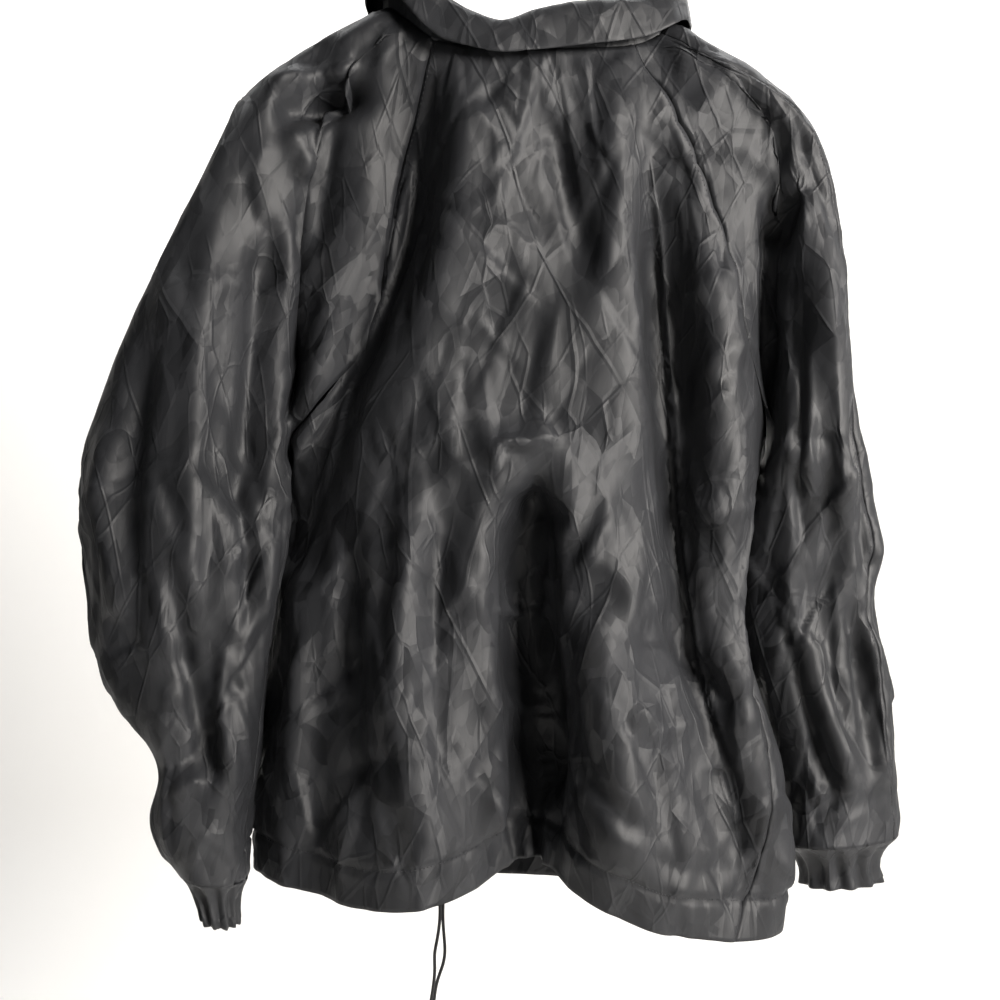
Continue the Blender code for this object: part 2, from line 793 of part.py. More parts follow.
def collar_base(run):
    """Even points along the neck edge, with both of its highest points kept."""
    right = max((p for p in run if p.x > 0.0), key=lambda p: p.z)
    left = max((p for p in run if p.x < 0.0), key=lambda p: p.z)
    first = run.index(right)
    second = run.index(left)
    front_count = COLLAR_FRONT_COLUMNS + 1
    back_count = COLLAR_COLUMNS - 2 * COLLAR_FRONT_COLUMNS + 1
    base = resample(run[: first + 1], front_count)
    base += resample(run[first : second + 1], back_count)[1:]
    return base + resample(run[second:], front_count)[1:]


def make_collar(grids, finish):
    base = collar_base(neck_run(grids))
    rows = []
    for outward, stand_share, fall_share in COLLAR:
        row = []
        for k, point in enumerate(base):
            share = k / COLLAR_COLUMNS
            way = base[min(k + 1, COLLAR_COLUMNS)] - base[max(k - 1, 0)]
            out = Vector((-way.y, way.x, 0.0)).normalized()
            rise = collar_sizes["stand"](share) * stand_share - collar_sizes["fall"](share) * fall_share
            row.append(point + out * outward + Vector((0.0, 0.0, COLLAR_SEAT + rise)))
        rows.append(row)
    normals = shared_normals([(rows, 1.0)])
    inner = [[point - normal_at(normals, point) * COLLAR_WALL for point in row] for row in rows]
    return add_object("collar", wall_mesh("collar", rows, inner), finish)


def make_cuff(word, grids, finish):
    """Elastic band below a sleeve, gathered into waves."""
    back = grids["sleeve_back_" + word][-1]
    front = grids["sleeve_front_" + word][-1]
    ring = resample(back + front[-2:0:-1], CUFF_COLUMNS, closed=True)
    centre = sum(ring, Vector((0, 0, 0))) / CUFF_COLUMNS
    axis = Vector(CUFF_AXIS[word]).normalized()
    outer = []
    inner = []
    for band in CUFF:
        along = band[CUFF_NAMES.index("along")]
        size = band[CUFF_NAMES.index(word)]
        outer_row = []
        inner_row = []
        for k, point in enumerate(ring):
            spoke = point - centre
            wave = math.cos(2.0 * math.pi * CUFF_GATHERS * k / CUFF_COLUMNS)
            reach = spoke.length * size + CUFF_WAVE * wave * ease(along / CUFF_RAMP)
            place = centre + axis * along
            outer_row.append(place + spoke.normalized() * reach)
            inner_row.append(place + spoke.normalized() * (reach - CUFF_WALL))
        outer.append(outer_row)
        inner.append(inner_row)
    return add_object("cuff_" + word, wall_mesh("cuff_" + word, outer, inner, closed=True), finish)


def make_snap(number, drop, panel, finish):
    """Snap cap on the left front, seated on the cloth that it is pressed into."""
    start = to_frame(Vector((front_edge(drop), SNAP_RAY_START, -drop)))
    _, place, normal, _ = panel.ray_cast(start, Vector((0.0, -1.0, 0.0)))
    shape = bmesh.new()
    bmesh.ops.create_cone(
        shape,
        cap_ends=True,
        segments=SNAP_SEGMENTS,
        radius1=SNAP_RADIUS * MM,
        radius2=SNAP_RADIUS * SNAP_TAPER * MM,
        depth=SNAP_THICK * MM,
    )
    turn = normal.to_track_quat("Z", "Y").to_matrix()
    bmesh.ops.rotate(shape, verts=shape.verts, matrix=turn)
    bmesh.ops.translate(shape, verts=shape.verts, vec=place + normal * (SNAP_SEAT + SNAP_THICK / 2.0) * MM)
    mesh = bpy.data.meshes.new("snap")
    shape.to_mesh(mesh)
    shape.free()
    return add_object(f"snap_{number}", mesh, finish)


def tube(name, points, radius, finish, resolution):
    """Round bar or cord along a run of points, with filled ends."""
    curve = bpy.data.curves.new(name, "CURVE")
    curve.dimensions = "3D"
    curve.bevel_depth = radius * MM
    curve.bevel_resolution = resolution
    curve.use_fill_caps = True
    line = curve.splines.new("POLY")
    line.points.add(len(points) - 1)
    for knot, point in zip(line.points, points):
        knot.co = (*to_frame(point), 1.0)
    return add_object(name, curve, finish)


def hem_place(row, x):
    """Point of a front's hem at a place across."""
    for a, b in zip(row, row[1:]):
        if min(a.x, b.x) <= x <= max(a.x, b.x) and a.y > 0.0:
            return a.lerp(b, (x - a.x) / (b.x - a.x))
    return row[0]


def make_drawstring(word, panel_row, finish):
    """Strand of the hem cord that hangs free below the hem of a front."""
    across = cord_path[word + "_across"]
    swing = cord_path[word + "_swing"]
    start = hem_place(panel_row, across(0))
    length = CORD[-1][0]
    count = int(length / CORD_STEP)
    points = []
    for i in range(count + 1):
        below = length * i / count
        middle_of_wall = start.y - (WALL + HEM_EXTRA) / 2.0
        points.append(Vector((across(below), middle_of_wall + swing(below), start.z - CORD_SEAT - below)))
    return tube("drawstring_" + word, points, CORD_RADIUS, finish, 2)


def hanger_line():
    """Run of the hanger's arms under the shoulders, up to the middle."""
    left = OUTLINE_NAMES.index("out_left")
    right = OUTLINE_NAMES.index("out_right")
    upper = [row for row in OUTLINE if row[0] <= ARM_END_DROP]
    rows = [(row[left], row[0]) for row in reversed(upper)]
    rows += [(0, ARM_APEX_DROP)]
    rows += [(row[right], row[0]) for row in upper]
    top = smooth_columns(("across", "drop"), rows)["drop"]
    points = []
    for i in range(ARM_POINTS):
        x = mix(ARM_REACH[0], ARM_REACH[1], i / (ARM_POINTS - 1))
        slope = Vector((2.0, 0.0, -(top(x + 1.0) - top(x - 1.0)))).normalized()
        under = Vector((slope.z, 0.0, -slope.x))
        sag = ARM_SAG * max(0.0, (abs(x) - ARM_SAG_START) / ARM_SAG_SPAN) ** 2
        points.append(Vector((x, 0.0, -top(x))) + under * (WALL + ARM_SEAT + ARM_RADIUS + sag))
    return points


def make_hanger(wood, wire):
    arms = hanger_line()
    tube("hanger_arms", arms, ARM_RADIUS, wood, 3)
    foot = max(point.z for point in arms) + ARM_RADIUS + SEAM_GAP
    bend_centre = NECK_BELOW_HOOK + HOOK_WIRE_RADIUS - HOOK_BEND
    points = []
    for i in range(HOOK_STEM_POINTS):
        share = i / HOOK_STEM_POINTS
        points.append(Vector((HOOK_BEND * ease(share * 1.5 - 0.5), 0.0, mix(foot, bend_centre, share))))
    for i in range(HOOK_ARC_POINTS + 1):
        turn = math.radians(HOOK_TIP_TURN) * i / HOOK_ARC_POINTS
        points.append(Vector((HOOK_BEND * math.cos(turn), 0.0, bend_centre + HOOK_BEND * math.sin(turn))))
    tube("hanger_hook", points, HOOK_WIRE_RADIUS, wire, 2)


def main():
    for old in list(bpy.data.objects):
        bpy.data.objects.remove(old, do_unlink=True)
    nylon = material("nylon_taffeta", CLOTH_COLOUR, 0.42)
    elastic = material("elastic_casing", CLOTH_COLOUR, 0.5)
    cord = material("braided_cord", CORD_COLOUR, 0.8)
    enamel = material("enamelled_snap", SNAP_COLOUR, 0.3)
    wood = material("pale_wood", ARM_COLOUR, 0.5)
    wire = material("plated_wire", HOOK_COLOUR, 0.25, 1.0)
    grids = {"back": back_grid()}
    outward = {"back": -1.0}
    for side, word in ((-1, "left"), (1, "right")):
        grids["front_" + word] = front_grid(side)
        outward["front_" + word] = side
        grids["sleeve_back_" + word] = sleeve_grid(side, "back")
        outward["sleeve_back_" + word] = -side
        grids["sleeve_front_" + word] = sleeve_grid(side, "front")
        outward["sleeve_front_" + word] = side
    body = [(rows, outward[name]) for name, rows in grids.items() if "sleeve" not in name]
    sleeves = [(rows, outward[name]) for name, rows in grids.items() if "sleeve" in name]
    normals = shared_normals(sleeves, settled=shared_normals(body))
    panels = {name: cloth_panel(name, rows, normals, nylon) for name, rows in grids.items()}
    make_collar(grids, nylon)
    for word, far_front in (("left", "front_right"), ("right", "front_left")):
        make_cuff(word, grids, elastic)
        make_drawstring(word, grids[far_front][-1], cord)
    for number, drop in enumerate(SNAP_DROPS, 1):
        make_snap(number, drop, panels["front_left"], enamel)
    make_hanger(wood, wire)


main()
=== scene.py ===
import json
import math

import bmesh
import bpy
import numpy as np
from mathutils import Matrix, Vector
from mathutils.bvhtree import BVHTree
from mathutils.kdtree import KDTree

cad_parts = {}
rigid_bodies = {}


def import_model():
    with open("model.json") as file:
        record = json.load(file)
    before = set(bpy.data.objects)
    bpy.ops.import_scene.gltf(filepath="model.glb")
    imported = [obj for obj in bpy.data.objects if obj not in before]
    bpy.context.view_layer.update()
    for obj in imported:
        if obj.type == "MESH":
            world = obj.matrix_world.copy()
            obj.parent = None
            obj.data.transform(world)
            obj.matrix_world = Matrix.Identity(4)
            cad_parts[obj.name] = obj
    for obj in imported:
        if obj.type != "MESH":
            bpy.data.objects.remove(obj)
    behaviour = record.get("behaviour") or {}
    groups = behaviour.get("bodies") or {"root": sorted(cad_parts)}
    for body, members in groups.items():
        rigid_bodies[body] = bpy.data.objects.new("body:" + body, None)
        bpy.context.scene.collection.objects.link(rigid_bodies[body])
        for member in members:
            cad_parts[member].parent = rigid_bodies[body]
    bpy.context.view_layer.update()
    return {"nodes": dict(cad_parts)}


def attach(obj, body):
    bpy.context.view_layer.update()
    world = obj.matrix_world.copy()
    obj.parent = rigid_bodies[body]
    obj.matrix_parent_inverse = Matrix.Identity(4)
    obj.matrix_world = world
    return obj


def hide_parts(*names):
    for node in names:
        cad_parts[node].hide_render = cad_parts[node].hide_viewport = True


for old in list(bpy.data.objects):
    bpy.data.objects.remove(old, do_unlink=True)
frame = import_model()
mm = 0.001
neckBelowHook = 150  # mm from the rail down to the neck seam at the back
print("frame loaded")


# a place in mm across and mm below the neck seam, as metres in the frame
def place(across, depth, drop):
    return Vector((across * mm, depth * mm, -(drop + neckBelowHook) * mm))


# goes softly from 0 to 1 as the value goes from low to high
def smoothStep(low, high, value):
    t = np.clip((value - low) / (high - low), 0, 1)
    return t * t * (3 - 2 * t)


# the value at a share of the way between two ends
def between(ends, share):
    return ends[0] + (ends[1] - ends[0]) * share


def linkObject(name, data):
    made = bpy.data.objects.new(name, data)
    bpy.context.collection.objects.link(made)
    return made


# turns an edited shape into a mesh
def meshFrom(shape, name):
    made = bpy.data.meshes.new(name)
    shape.to_mesh(made)
    shape.free()
    return made


# an sRGB hex colour as linear values
def linear(hexText):
    parts = [int(hexText[i:i + 2], 16) / 255 for i in (1, 3, 5)]
    return [p / 12.92 if p <= 0.04045 else ((p + 0.055) / 1.055) ** 2.4 for p in parts] + [1.0]


# adds one node with its settings, and links what is given for its sockets
def addNode(tree, kind, settings=None, **sockets):
    node = tree.nodes.new("ShaderNode" + kind)
    for key, value in (settings or {}).items():
        setattr(node, key, value)
    for key, value in sockets.items():
        socket = node.inputs[int(key[2:])] if key.startswith("in") else node.inputs[key.replace("_", " ")]
        if isinstance(value, bpy.types.NodeSocket):
            tree.links.new(value, socket)
        else:
            socket.default_value = value
    return node


def newMaterial(name):
    made = bpy.data.materials.new(name)
    made.use_nodes = True
    return made, made.node_tree, made.node_tree.nodes["Principled BSDF"]


# camera at the photograph's angle: level, square to the jacket's back
view = {"across": -21.6, "drop": 385.8, "away": 925, "halfAngle": 25.0, "sensor": 36, "far": 50}
cameraData = bpy.data.cameras.new("camera")
cameraData.sensor_width = view["sensor"]
cameraData.lens = view["sensor"] / 2 / math.tan(math.radians(view["halfAngle"]))
cameraData.clip_end = view["far"]
camera = linkObject("camera", cameraData)
camera.location = place(view["across"], -view["away"], view["drop"])
camera.rotation_euler = (math.pi / 2, 0, 0)
bpy.context.scene.camera = camera

# pale floor that curves up into a pale backdrop
studio = {"floor": -2.05, "wall": 2.3, "half": 9.0, "round": 0.6, "steps": 12, "front": -9.0, "top": 6.0,
          "paint": "#efeeec", "rough": 0.9, "gloss": 0.1, "air": "#f4f5f7", "glow": 0.03}


def makeStudio():
    shape = bmesh.new()
    start = shape.verts.new((-studio["half"], studio["front"], studio["floor"]))
    bend = shape.verts.new((-studio["half"], studio["wall"] - studio["round"], studio["floor"]))
    shape.edges.new((start, bend))
    turned = bmesh.ops.spin(shape, geom=[bend], axis=(1, 0, 0), angle=math.pi / 2, steps=studio["steps"],
                            cent=(0, studio["wall"] - studio["round"], studio["floor"] + studio["round"]))
    last = [v for v in turned["geom_last"] if isinstance(v, bmesh.types.BMVert)][0]
    top = shape.verts.new((-studio["half"], studio["wall"], studio["top"]))
    shape.edges.new((last, top))
    out = bmesh.ops.extrude_edge_only(shape, edges=shape.edges[:])
    moved = [v for v in out["geom"] if isinstance(v, bmesh.types.BMVert)]
    bmesh.ops.translate(shape, verts=moved, vec=(2 * studio["half"], 0, 0))
    bmesh.ops.recalc_face_normals(shape, faces=shape.faces)
    mesh = meshFrom(shape, "studioFloor")
    mesh.shade_smooth()
    floor = linkObject("studioFloor", mesh)
    paint, _, shader = newMaterial("matt white emulsion")  # even pale ground with no gloss
    shader.inputs["Base Color"].default_value = linear(studio["paint"])
    shader.inputs["Roughness"].default_value = studio["rough"]
    shader.inputs["Specular IOR Level"].default_value = studio["gloss"]
    mesh.materials.append(paint)


makeStudio()


def addLamp(name, size, power, spot, aim, colour):
    lampData = bpy.data.lights.new(name, "AREA")
    lampData.shape = "RECTANGLE"
    lampData.size, lampData.size_y = size
    lampData.energy = power
    lampData.color = linear(colour)[:3]
    lamp = linkObject(name, lampData)
    lamp.location = spot
    lamp.rotation_euler = (Vector(aim) - Vector(spot)).to_track_quat("-Z", "Y").to_euler()
    lamp.visible_camera = False


middle = (-0.02, 0.0, -0.5)
lamps = [  # size in m, power in W, place, aim and colour
    ("keyLamp", (0.8, 0.8), 108, (1.5, -1.5, 0.05), middle, "#fffaf4"),
    ("sideLamp", (0.5, 1.0), 22, (1.5, -0.55, -0.45), (0.2, 0.0, -0.6), "#fffaf4"),
    ("fillLamp", (2.0, 2.0), 1, (-1.9, -1.5, -0.2), middle, "#f2f6ff"),
    ("wallLamp", (4.0, 1.6), 120, (0.2, 0.9, 1.9), (0.0, 2.3, -0.6), "#ffffff"),
    ("rearLamp", (2.4, 2.0), 30, (0.6, 1.9, 0.6), middle, "#ffffff"),
]
for lamp in lamps:
    addLamp(*lamp)
world = bpy.data.worlds.new("studioAir")
world.use_nodes = True
world.node_tree.nodes["Background"].inputs["Color"].default_value = linear(studio["air"])
world.node_tree.nodes["Background"].inputs["Strength"].default_value = studio["glow"]
bpy.context.scene.world = world
bpy.context.scene.view_settings.view_transform = "Standard"
print("camera, floor and lamps set")

# cloth panels of the jacket, cut from the outer skins of their solids
panels = ["back", "front_left", "front_right", "sleeve_back_left", "sleeve_back_right",
          "sleeve_front_left", "sleeve_front_right"]
skin = {"merge": 0.02, "start": 0.05, "thin": 1.1, "thick": 3.6, "weld": 0.45, "cross": 0.62, "hole": 5}  # mm


# keeps the outer skin of a wall: rim faces hold an edge that runs through the wall
def outerSkin(node, outward):
    shape = bmesh.new()
    shape.from_mesh(frame["nodes"][node].data)
    bmesh.ops.remove_doubles(shape, verts=shape.verts, dist=skin["merge"] * mm)
    shape.normal_update()
    tree = BVHTree.FromBMesh(shape)
    flat = set()
    for face in shape.faces:
        centre = face.calc_center_median()
        hit = tree.ray_cast(centre - face.normal * skin["start"] * mm, -face.normal, skin["thick"] * mm)
        if hit[3] is not None:
            flat.add(face)
    through = set()
    for edge in shape.edges:
        length = edge.calc_length() / mm
        if not skin["thin"] < length < skin["thick"]:
            continue
        way = (edge.verts[1].co - edge.verts[0].co).normalized()
        along = []
        for vert in edge.verts:
            total = sum((f.normal * f.calc_area() for f in vert.link_faces if f in flat), Vector())
            if total.length > 0:
                along.append(abs(total.normalized().dot(way)))
        if along and max(along) > skin["cross"]:
            through.add(edge)
    rim = set(f for f in shape.faces if any(e in through for e in f.edges))
    parts = []
    left = set(shape.faces) - rim
    while left:
        group = set()
        queue = [left.pop()]
        while queue:
            face = queue.pop()
            group.add(face)
            for edge in face.edges:
                for other in edge.link_faces:
                    if other in left:
                        left.discard(other)
                        queue.append(other)
        parts.append(group)
    parts.sort(key=len, reverse=True)
    facing = []
    for group in parts[:2]:
        facing.append(sum(f.normal.dot(outward(f.calc_center_median())) * f.calc_area() for f in group))
    kept, inner = (parts[0], parts[1]) if facing[0] > facing[1] else (parts[1], parts[0])
    far = set(v for f in inner for v in f.verts)
    kept |= set(f for f in rim if not any(v in far for v in f.verts) and f in flat)
    print("skin", node, "parts", [len(g) for g in parts[:4]], "kept", len(kept))
    bmesh.ops.delete(shape, geom=[f for f in shape.faces if f not in kept], context="FACES")
    return shape


# which way is out: round the body, or round a sleeve below the underarm, by rough half sizes in m
bodyRound = {"wide": 0.2, "deep": 0.06, "back": 0.008}
shoulderRound = {"wide": 0.27, "deep": 0.045, "up": 4.0}
armRound = {"wide": 0.06, "deep": 0.05, "middle": {-1: 0.3, 1: 0.275}, "back": 0.014,
            "start": 0.4, "fade": 0.08}


def bodyOut(point):
    across = point.x / bodyRound["wide"] ** 2
    return Vector((across, (point.y + bodyRound["back"]) / bodyRound["deep"] ** 2, 0.0)).normalized()


def sleeveOut(side):
    def out(point):
        upper = Vector((point.x / shoulderRound["wide"] ** 2, point.y / shoulderRound["deep"] ** 2,
                        shoulderRound["up"])).normalized()
        across = (point.x - side * armRound["middle"][side]) / armRound["wide"] ** 2
        along = (point.y - side * armRound["back"]) / armRound["deep"] ** 2
        lower = Vector((across, along, 0.0)).normalized()
        return upper.lerp(lower, smoothStep(0, 1, (-point.z - armRound["start"]) / armRound["fade"]))
    return out


def gatherSkins():
    whole = bmesh.new()
    layer = whole.faces.layers.int.new("panel")
    for number, node in enumerate(panels):
        side = -1 if node.endswith("left") else 1
        part = outerSkin(node, sleeveOut(side) if "sleeve" in node else bodyOut)
        bmesh.ops.join_triangles(part, faces=part.faces, angle_face_threshold=math.pi,
                                 angle_shape_threshold=math.pi)
        mesh = meshFrom(part, node)
        before = len(whole.faces)
        whole.from_mesh(mesh)
        whole.faces.ensure_lookup_table()
        for face in whole.faces[before:]:
            face[layer] = number
        bpy.data.meshes.remove(mesh)
    return whole


whole = gatherSkins()
bmesh.ops.remove_doubles(whole, verts=whole.verts, dist=skin["weld"] * mm)
bmesh.ops.holes_fill(whole, edges=[e for e in whole.edges if e.is_boundary], sides=skin["hole"])
bmesh.ops.recalc_face_normals(whole, faces=whole.faces)
print("skins joined", len(whole.verts), "points", len(whole.faces), "faces")


# bakes an object's modifiers into a new mesh
def bakedMesh(item):
    graph = bpy.context.evaluated_depsgraph_get()
    return bpy.data.meshes.new_from_object(item.evaluated_get(graph), depsgraph=graph)


def subdivided(mesh, levels, name):
    item = linkObject(name, mesh)
    finer = item.modifiers.new("finer", "SUBSURF")
    finer.levels = finer.render_levels = levels
    finer.boundary_smooth = "PRESERVE_CORNERS"
    made = bakedMesh(item)
    bpy.data.objects.remove(item, do_unlink=True)
    return made


coarse = meshFrom(whole, "jacket")


def readPoints(mesh):
    spots = np.zeros(len(mesh.vertices) * 3)
    ways = np.zeros(len(mesh.vertices) * 3)
    mesh.vertices.foreach_get("co", spots)
    mesh.vertices.foreach_get("normal", ways)
    return spots.reshape(-1, 3), ways.reshape(-1, 3)


def writePoints(mesh, spots):
    mesh.vertices.foreach_set("co", spots.reshape(-1))
    mesh.update()


fitting = {"levels": 2, "rounds": 4, "pull": 0.8}


# the cage is moved until the finer cloth passes through the solid's own points
def fitCage(mesh, levels, rounds):
    target = readPoints(mesh)[0].copy()
    for _ in range(rounds):
        finer = subdivided(mesh, levels, "fitting")
        reached = readPoints(finer)[0][:len(target)]
        writePoints(mesh, readPoints(mesh)[0] + fitting["pull"] * (target - reached))
        bpy.data.meshes.remove(finer)
    print("cage fitted, farthest point", round(np.abs(target - reached).max() / mm, 2), "mm")


fitCage(coarse, fitting["levels"], fitting["rounds"])
jacketMesh = subdivided(coarse, fitting["levels"], "jacketCoarse")
print("cloth", len(jacketMesh.vertices), "points", len(jacketMesh.polygons), "faces")


# where points are seen from the camera's place: mm across and below the neck seam, in the hanger's plane
def seenPlaces(spots):
    eye = np.array(camera.location)
    scale = view["away"] * mm / (spots[:, 1] - eye[1])
    across = (eye[0] + (spots[:, 0] - eye[0]) * scale) / mm
    drop = -(eye[2] + (spots[:, 2] - eye[2]) * scale) / mm - neckBelowHook
    return across, drop


# distance to a run of points, and on which side of it
def strokeDistance(across, drop, run):
    best = np.full(len(across), np.inf)
    sign = np.ones(len(across))
    share = np.zeros(len(across))
    for k in range(len(run) - 1):
        (x0, d0), (x1, d1) = run[k], run[k + 1]
        dx, dd = x1 - x0, d1 - d0
        t = np.clip(((across - x0) * dx + (drop - d0) * dd) / (dx * dx + dd * dd), 0, 1)
        gapX, gapD = across - x0 - t * dx, drop - d0 - t * dd
        gap = np.hypot(gapX, gapD)
        near = gap < best
        best = np.where(near, gap, best)
        sign = np.where(near, np.sign(dx * gapD - dd * gapX), sign)
        share = np.where(near, (k + t) / (len(run) - 1), share)
    return best, sign, share


# smooth run through given points
def smoothRun(points, steps=5):
    run = []
    last = len(points) - 1
    for k in range(last):
        before, a, b, after = points[max(k - 1, 0)], points[k], points[k + 1], points[min(k + 2, last)]
        for i in range(steps):
            t = i / steps
            run.append(tuple(0.5 * (2 * a[j] + (b[j] - before[j]) * t
                                    + (2 * before[j] - 5 * a[j] + 4 * b[j] - after[j]) * t * t
                                    + (3 * a[j] - before[j] - 3 * b[j] + after[j]) * t ** 3) for j in (0, 1)))
    return run + [points[-1]]


noiseKeys = {"axes": (374761393, 668265263, 2147483647), "seed": 1274126177, "mix": 1103515245}


# even soft noise from -1 to 1 at points that are given in steps of its own size
def softNoise(points, seed):
    cell = np.floor(points).astype(np.int64)
    part = points - cell
    part = part * part * (3 - 2 * part)
    total = np.zeros(len(points))
    for corner in range(8):
        step = np.array([corner & 1, corner >> 1 & 1, corner >> 2 & 1])
        key = (cell + step) @ np.array(noiseKeys["axes"]) + seed * noiseKeys["seed"]
        key = (key ^ (key >> 13)) * noiseKeys["mix"] & 0x7fffffff
        value = ((key ^ (key >> 16)) & 0xffff) / 32767.5 - 1
        weight = np.prod(np.where(step == 1, part, 1 - part), axis=1)
        total += value * weight
    return total


# main folds and creases of the seen side: half width, rise outwards, then places (across, drop), in mm
folds = [
    (24, -12, [(-92, 8), (-104, 84), (-110, 161), (-149, 265), (-184, 386)]),
    (22, 5, [(-47, 15), (-54, 110), (-73, 205), (-108, 317)]),
    (21, 8, [(-142, 110), (-151, 179), (-168, 248), (-184, 317)]),
    (17, -5, [(17, 49), (35, 118), (56, 179)]),
    (26, 6, [(75, 8), (82, 92), (73, 179), (47, 265)]),
    (18, -12, [(99, 84), (112, 170), (117, 239), (123, 317), (135, 438), (151, 541), (187, 645)]),
    (31, 12, [(151, 161), (164, 239), (168, 325), (161, 420)]),
    (27, -42, [(17, 343), (4, 420), (3, 507), (9, 593), (9, 688)]),
    (19, 12, [(-28, 351), (-41, 438), (-37, 524), (-28, 610), (-22, 688)]),
    (35, 13, [(65, 472), (75, 558), (82, 645), (92, 714)]),
    (21, 10, [(-91, 360), (-104, 455), (-110, 558), (-99, 662)]),
    (16, -10, [(-66, 386), (-77, 472), (-73, 576), (-63, 671)]),
    (17, -10, [(-149, 403), (-155, 507), (-149, 593), (-142, 688)]),
    (19, 9, [(-190, 438), (-196, 541), (-201, 645)]),
    (14, -8, [(117, 472), (142, 524), (181, 563)]),
    (14, -9, [(30, 507), (41, 576), (65, 636), (117, 688)]),
    (16, 9, [(-265, 118), (-276, 213), (-284, 317), (-289, 420), (-284, 507)]),
    (16, -15, [(-227, 153), (-230, 230), (-237, 325), (-246, 403)]),
    (14, 9, [(-207, 118), (-205, 205), (-216, 299), (-227, 369)]),
    (14, -10, [(-256, 360), (-239, 420), (-237, 507)]),
    (16, -9, [(-324, 239), (-337, 325), (-343, 412), (-332, 507)]),
    (17, 8, [(-358, 317), (-362, 403), (-351, 489)]),
    (12, -9, [(-306, 438), (-293, 515), (-276, 593), (-268, 645)]),
    (10, 8, [(-258, 507), (-261, 576), (-249, 636)]),
    (11, -8, [(237, 179), (236, 265), (237, 360), (243, 438)]),
    (15, 9, [(260, 153), (263, 248), (270, 343), (277, 420)]),
    (13, -10, [(285, 299), (294, 386), (299, 463)]),
    (13, 9, [(224, 438), (237, 507), (260, 576), (286, 645)]),
    (12, -10, [(229, 489), (248, 576), (270, 653)]),
    (12, 8, [(299, 489), (305, 558), (310, 636)]),
    (11, -8, [(280, 472), (291, 541), (299, 610)]),
    (20, -26, [(-218, 48), (-189, 44), (-160, 41), (-137, 27)]),
    (13, 10, [(-227, 27), (-194, 23), (-167, 20), (-142, 9)]),
    (11, 9, [(-205, 65), (-194, 84), (-189, 108)]),
    (12, -10, [(-161, 58), (-168, 84), (-175, 127), (-179, 174)]),
    (21, 6, [(142, 45), (168, 56), (181, 70)]),
    (14, -14, [(248, 103), (232, 123), (220, 149), (213, 170)]),
    (8, -10, [(211, 110), (210, 179), (210, 299)]),
]
creaseRuns = {  # by half width and rise
    (8, 4): [
        [(-24, 640), (-20, 672), (-14, 706)], [(-3, 636), (0, 670), (3, 708)],
        [(21, 640), (19, 676), (17, 710)],
    ],
    (8, -4): [
        [(-13, 650), (-9, 676), (-5, 708)], [(9, 650), (10, 678), (10, 708)],
        [(31, 655), (28, 682), (25, 712)],
    ],
    (18, 3): [
        [(-73, 331), (-87, 343), (-104, 353)], [(-149, 438), (-108, 425), (-73, 403)],
        [(-63, 619), (-39, 593), (-11, 550)],
    ],
    (16, 3): [
        [(-10, 381), (13, 370), (35, 386)], [(-10, 381), (-4, 412), (-11, 450)],
        [(-51, 291), (-63, 334), (-47, 369)], [(-168, 463), (-149, 431), (-132, 386)],
        [(-132, 576), (-91, 550), (-63, 515)], [(-73, 213), (-47, 239), (-30, 232)],
        [(-47, 41), (-23, 75), (-17, 99)], [(30, 213), (23, 256), (13, 299)],
        [(82, 351), (65, 403), (56, 446)], [(142, 386), (168, 396), (196, 390)],
        [(151, 282), (175, 256), (203, 249)], [(142, 213), (161, 196), (187, 180)],
        [(141, 118), (151, 161), (170, 213)], [(142, 84), (186, 84), (220, 110)],
        [(151, 696), (177, 671), (217, 645)], [(-220, 75), (-232, 101), (-227, 151)],
        [(-186, 84), (-184, 97), (-191, 111)], [(-274, 187), (-256, 230), (-261, 282)],
        [(-286, 360), (-265, 403), (-261, 455)], [(-220, 403), (-253, 438), (-272, 489)],
        [(-379, 369), (-350, 386), (-324, 382)], [(-362, 489), (-343, 463), (-324, 438)],
        [(-315, 558), (-296, 550), (-276, 507)], [(229, 213), (246, 205), (268, 213)],
        [(286, 353), (296, 394), (310, 443)], [(225, 507), (250, 515), (280, 550)],
        [(248, 627), (280, 636), (315, 619)],
    ],
    (16, -3): [
        [(-10, 381), (-25, 403), (-32, 434)], [(-10, 381), (17, 399), (42, 400)],
        [(-82, 282), (-104, 325), (-120, 344)], [(-132, 489), (-115, 438), (-120, 403)],
        [(-168, 627), (-125, 610), (-91, 619)], [(-22, 84), (-4, 118), (20, 161)],
        [(65, 239), (39, 291), (20, 325)], [(134, 360), (161, 374), (194, 360)],
        [(154, 298), (181, 275), (208, 272)], [(117, 58), (108, 101), (117, 135)],
        [(211, 84), (237, 85), (251, 99)], [(99, 688), (142, 707), (186, 702)],
        [(-275, 256), (-253, 317), (-249, 360)], [(-324, 360), (-305, 386), (-293, 420)],
        [(229, 325), (251, 334), (280, 317)],
    ],
    (18, 4): [
        [(65, 438), (89, 463), (99, 498)], [(99, 558), (117, 584), (151, 572)],
    ],
    (18, -4): [
        [(151, 572), (187, 558), (205, 550)],
    ],
    (16, 4): [
        [(168, 507), (187, 550), (192, 593)], [(-308, 645), (-284, 627), (-256, 636)],
        [(237, 515), (263, 576), (296, 636)],
    ],
    (14, -4): [
        [(-241, 103), (-236, 130), (-227, 153)], [(-222, 146), (-220, 170), (-215, 203)],
    ],
    (16, -4): [
        [(-315, 619), (-289, 610), (-263, 576)], [(280, 507), (299, 558), (313, 610)],
    ],
}
creases = [(width, rise, run) for (width, rise), runs in creaseRuns.items() for run in runs]
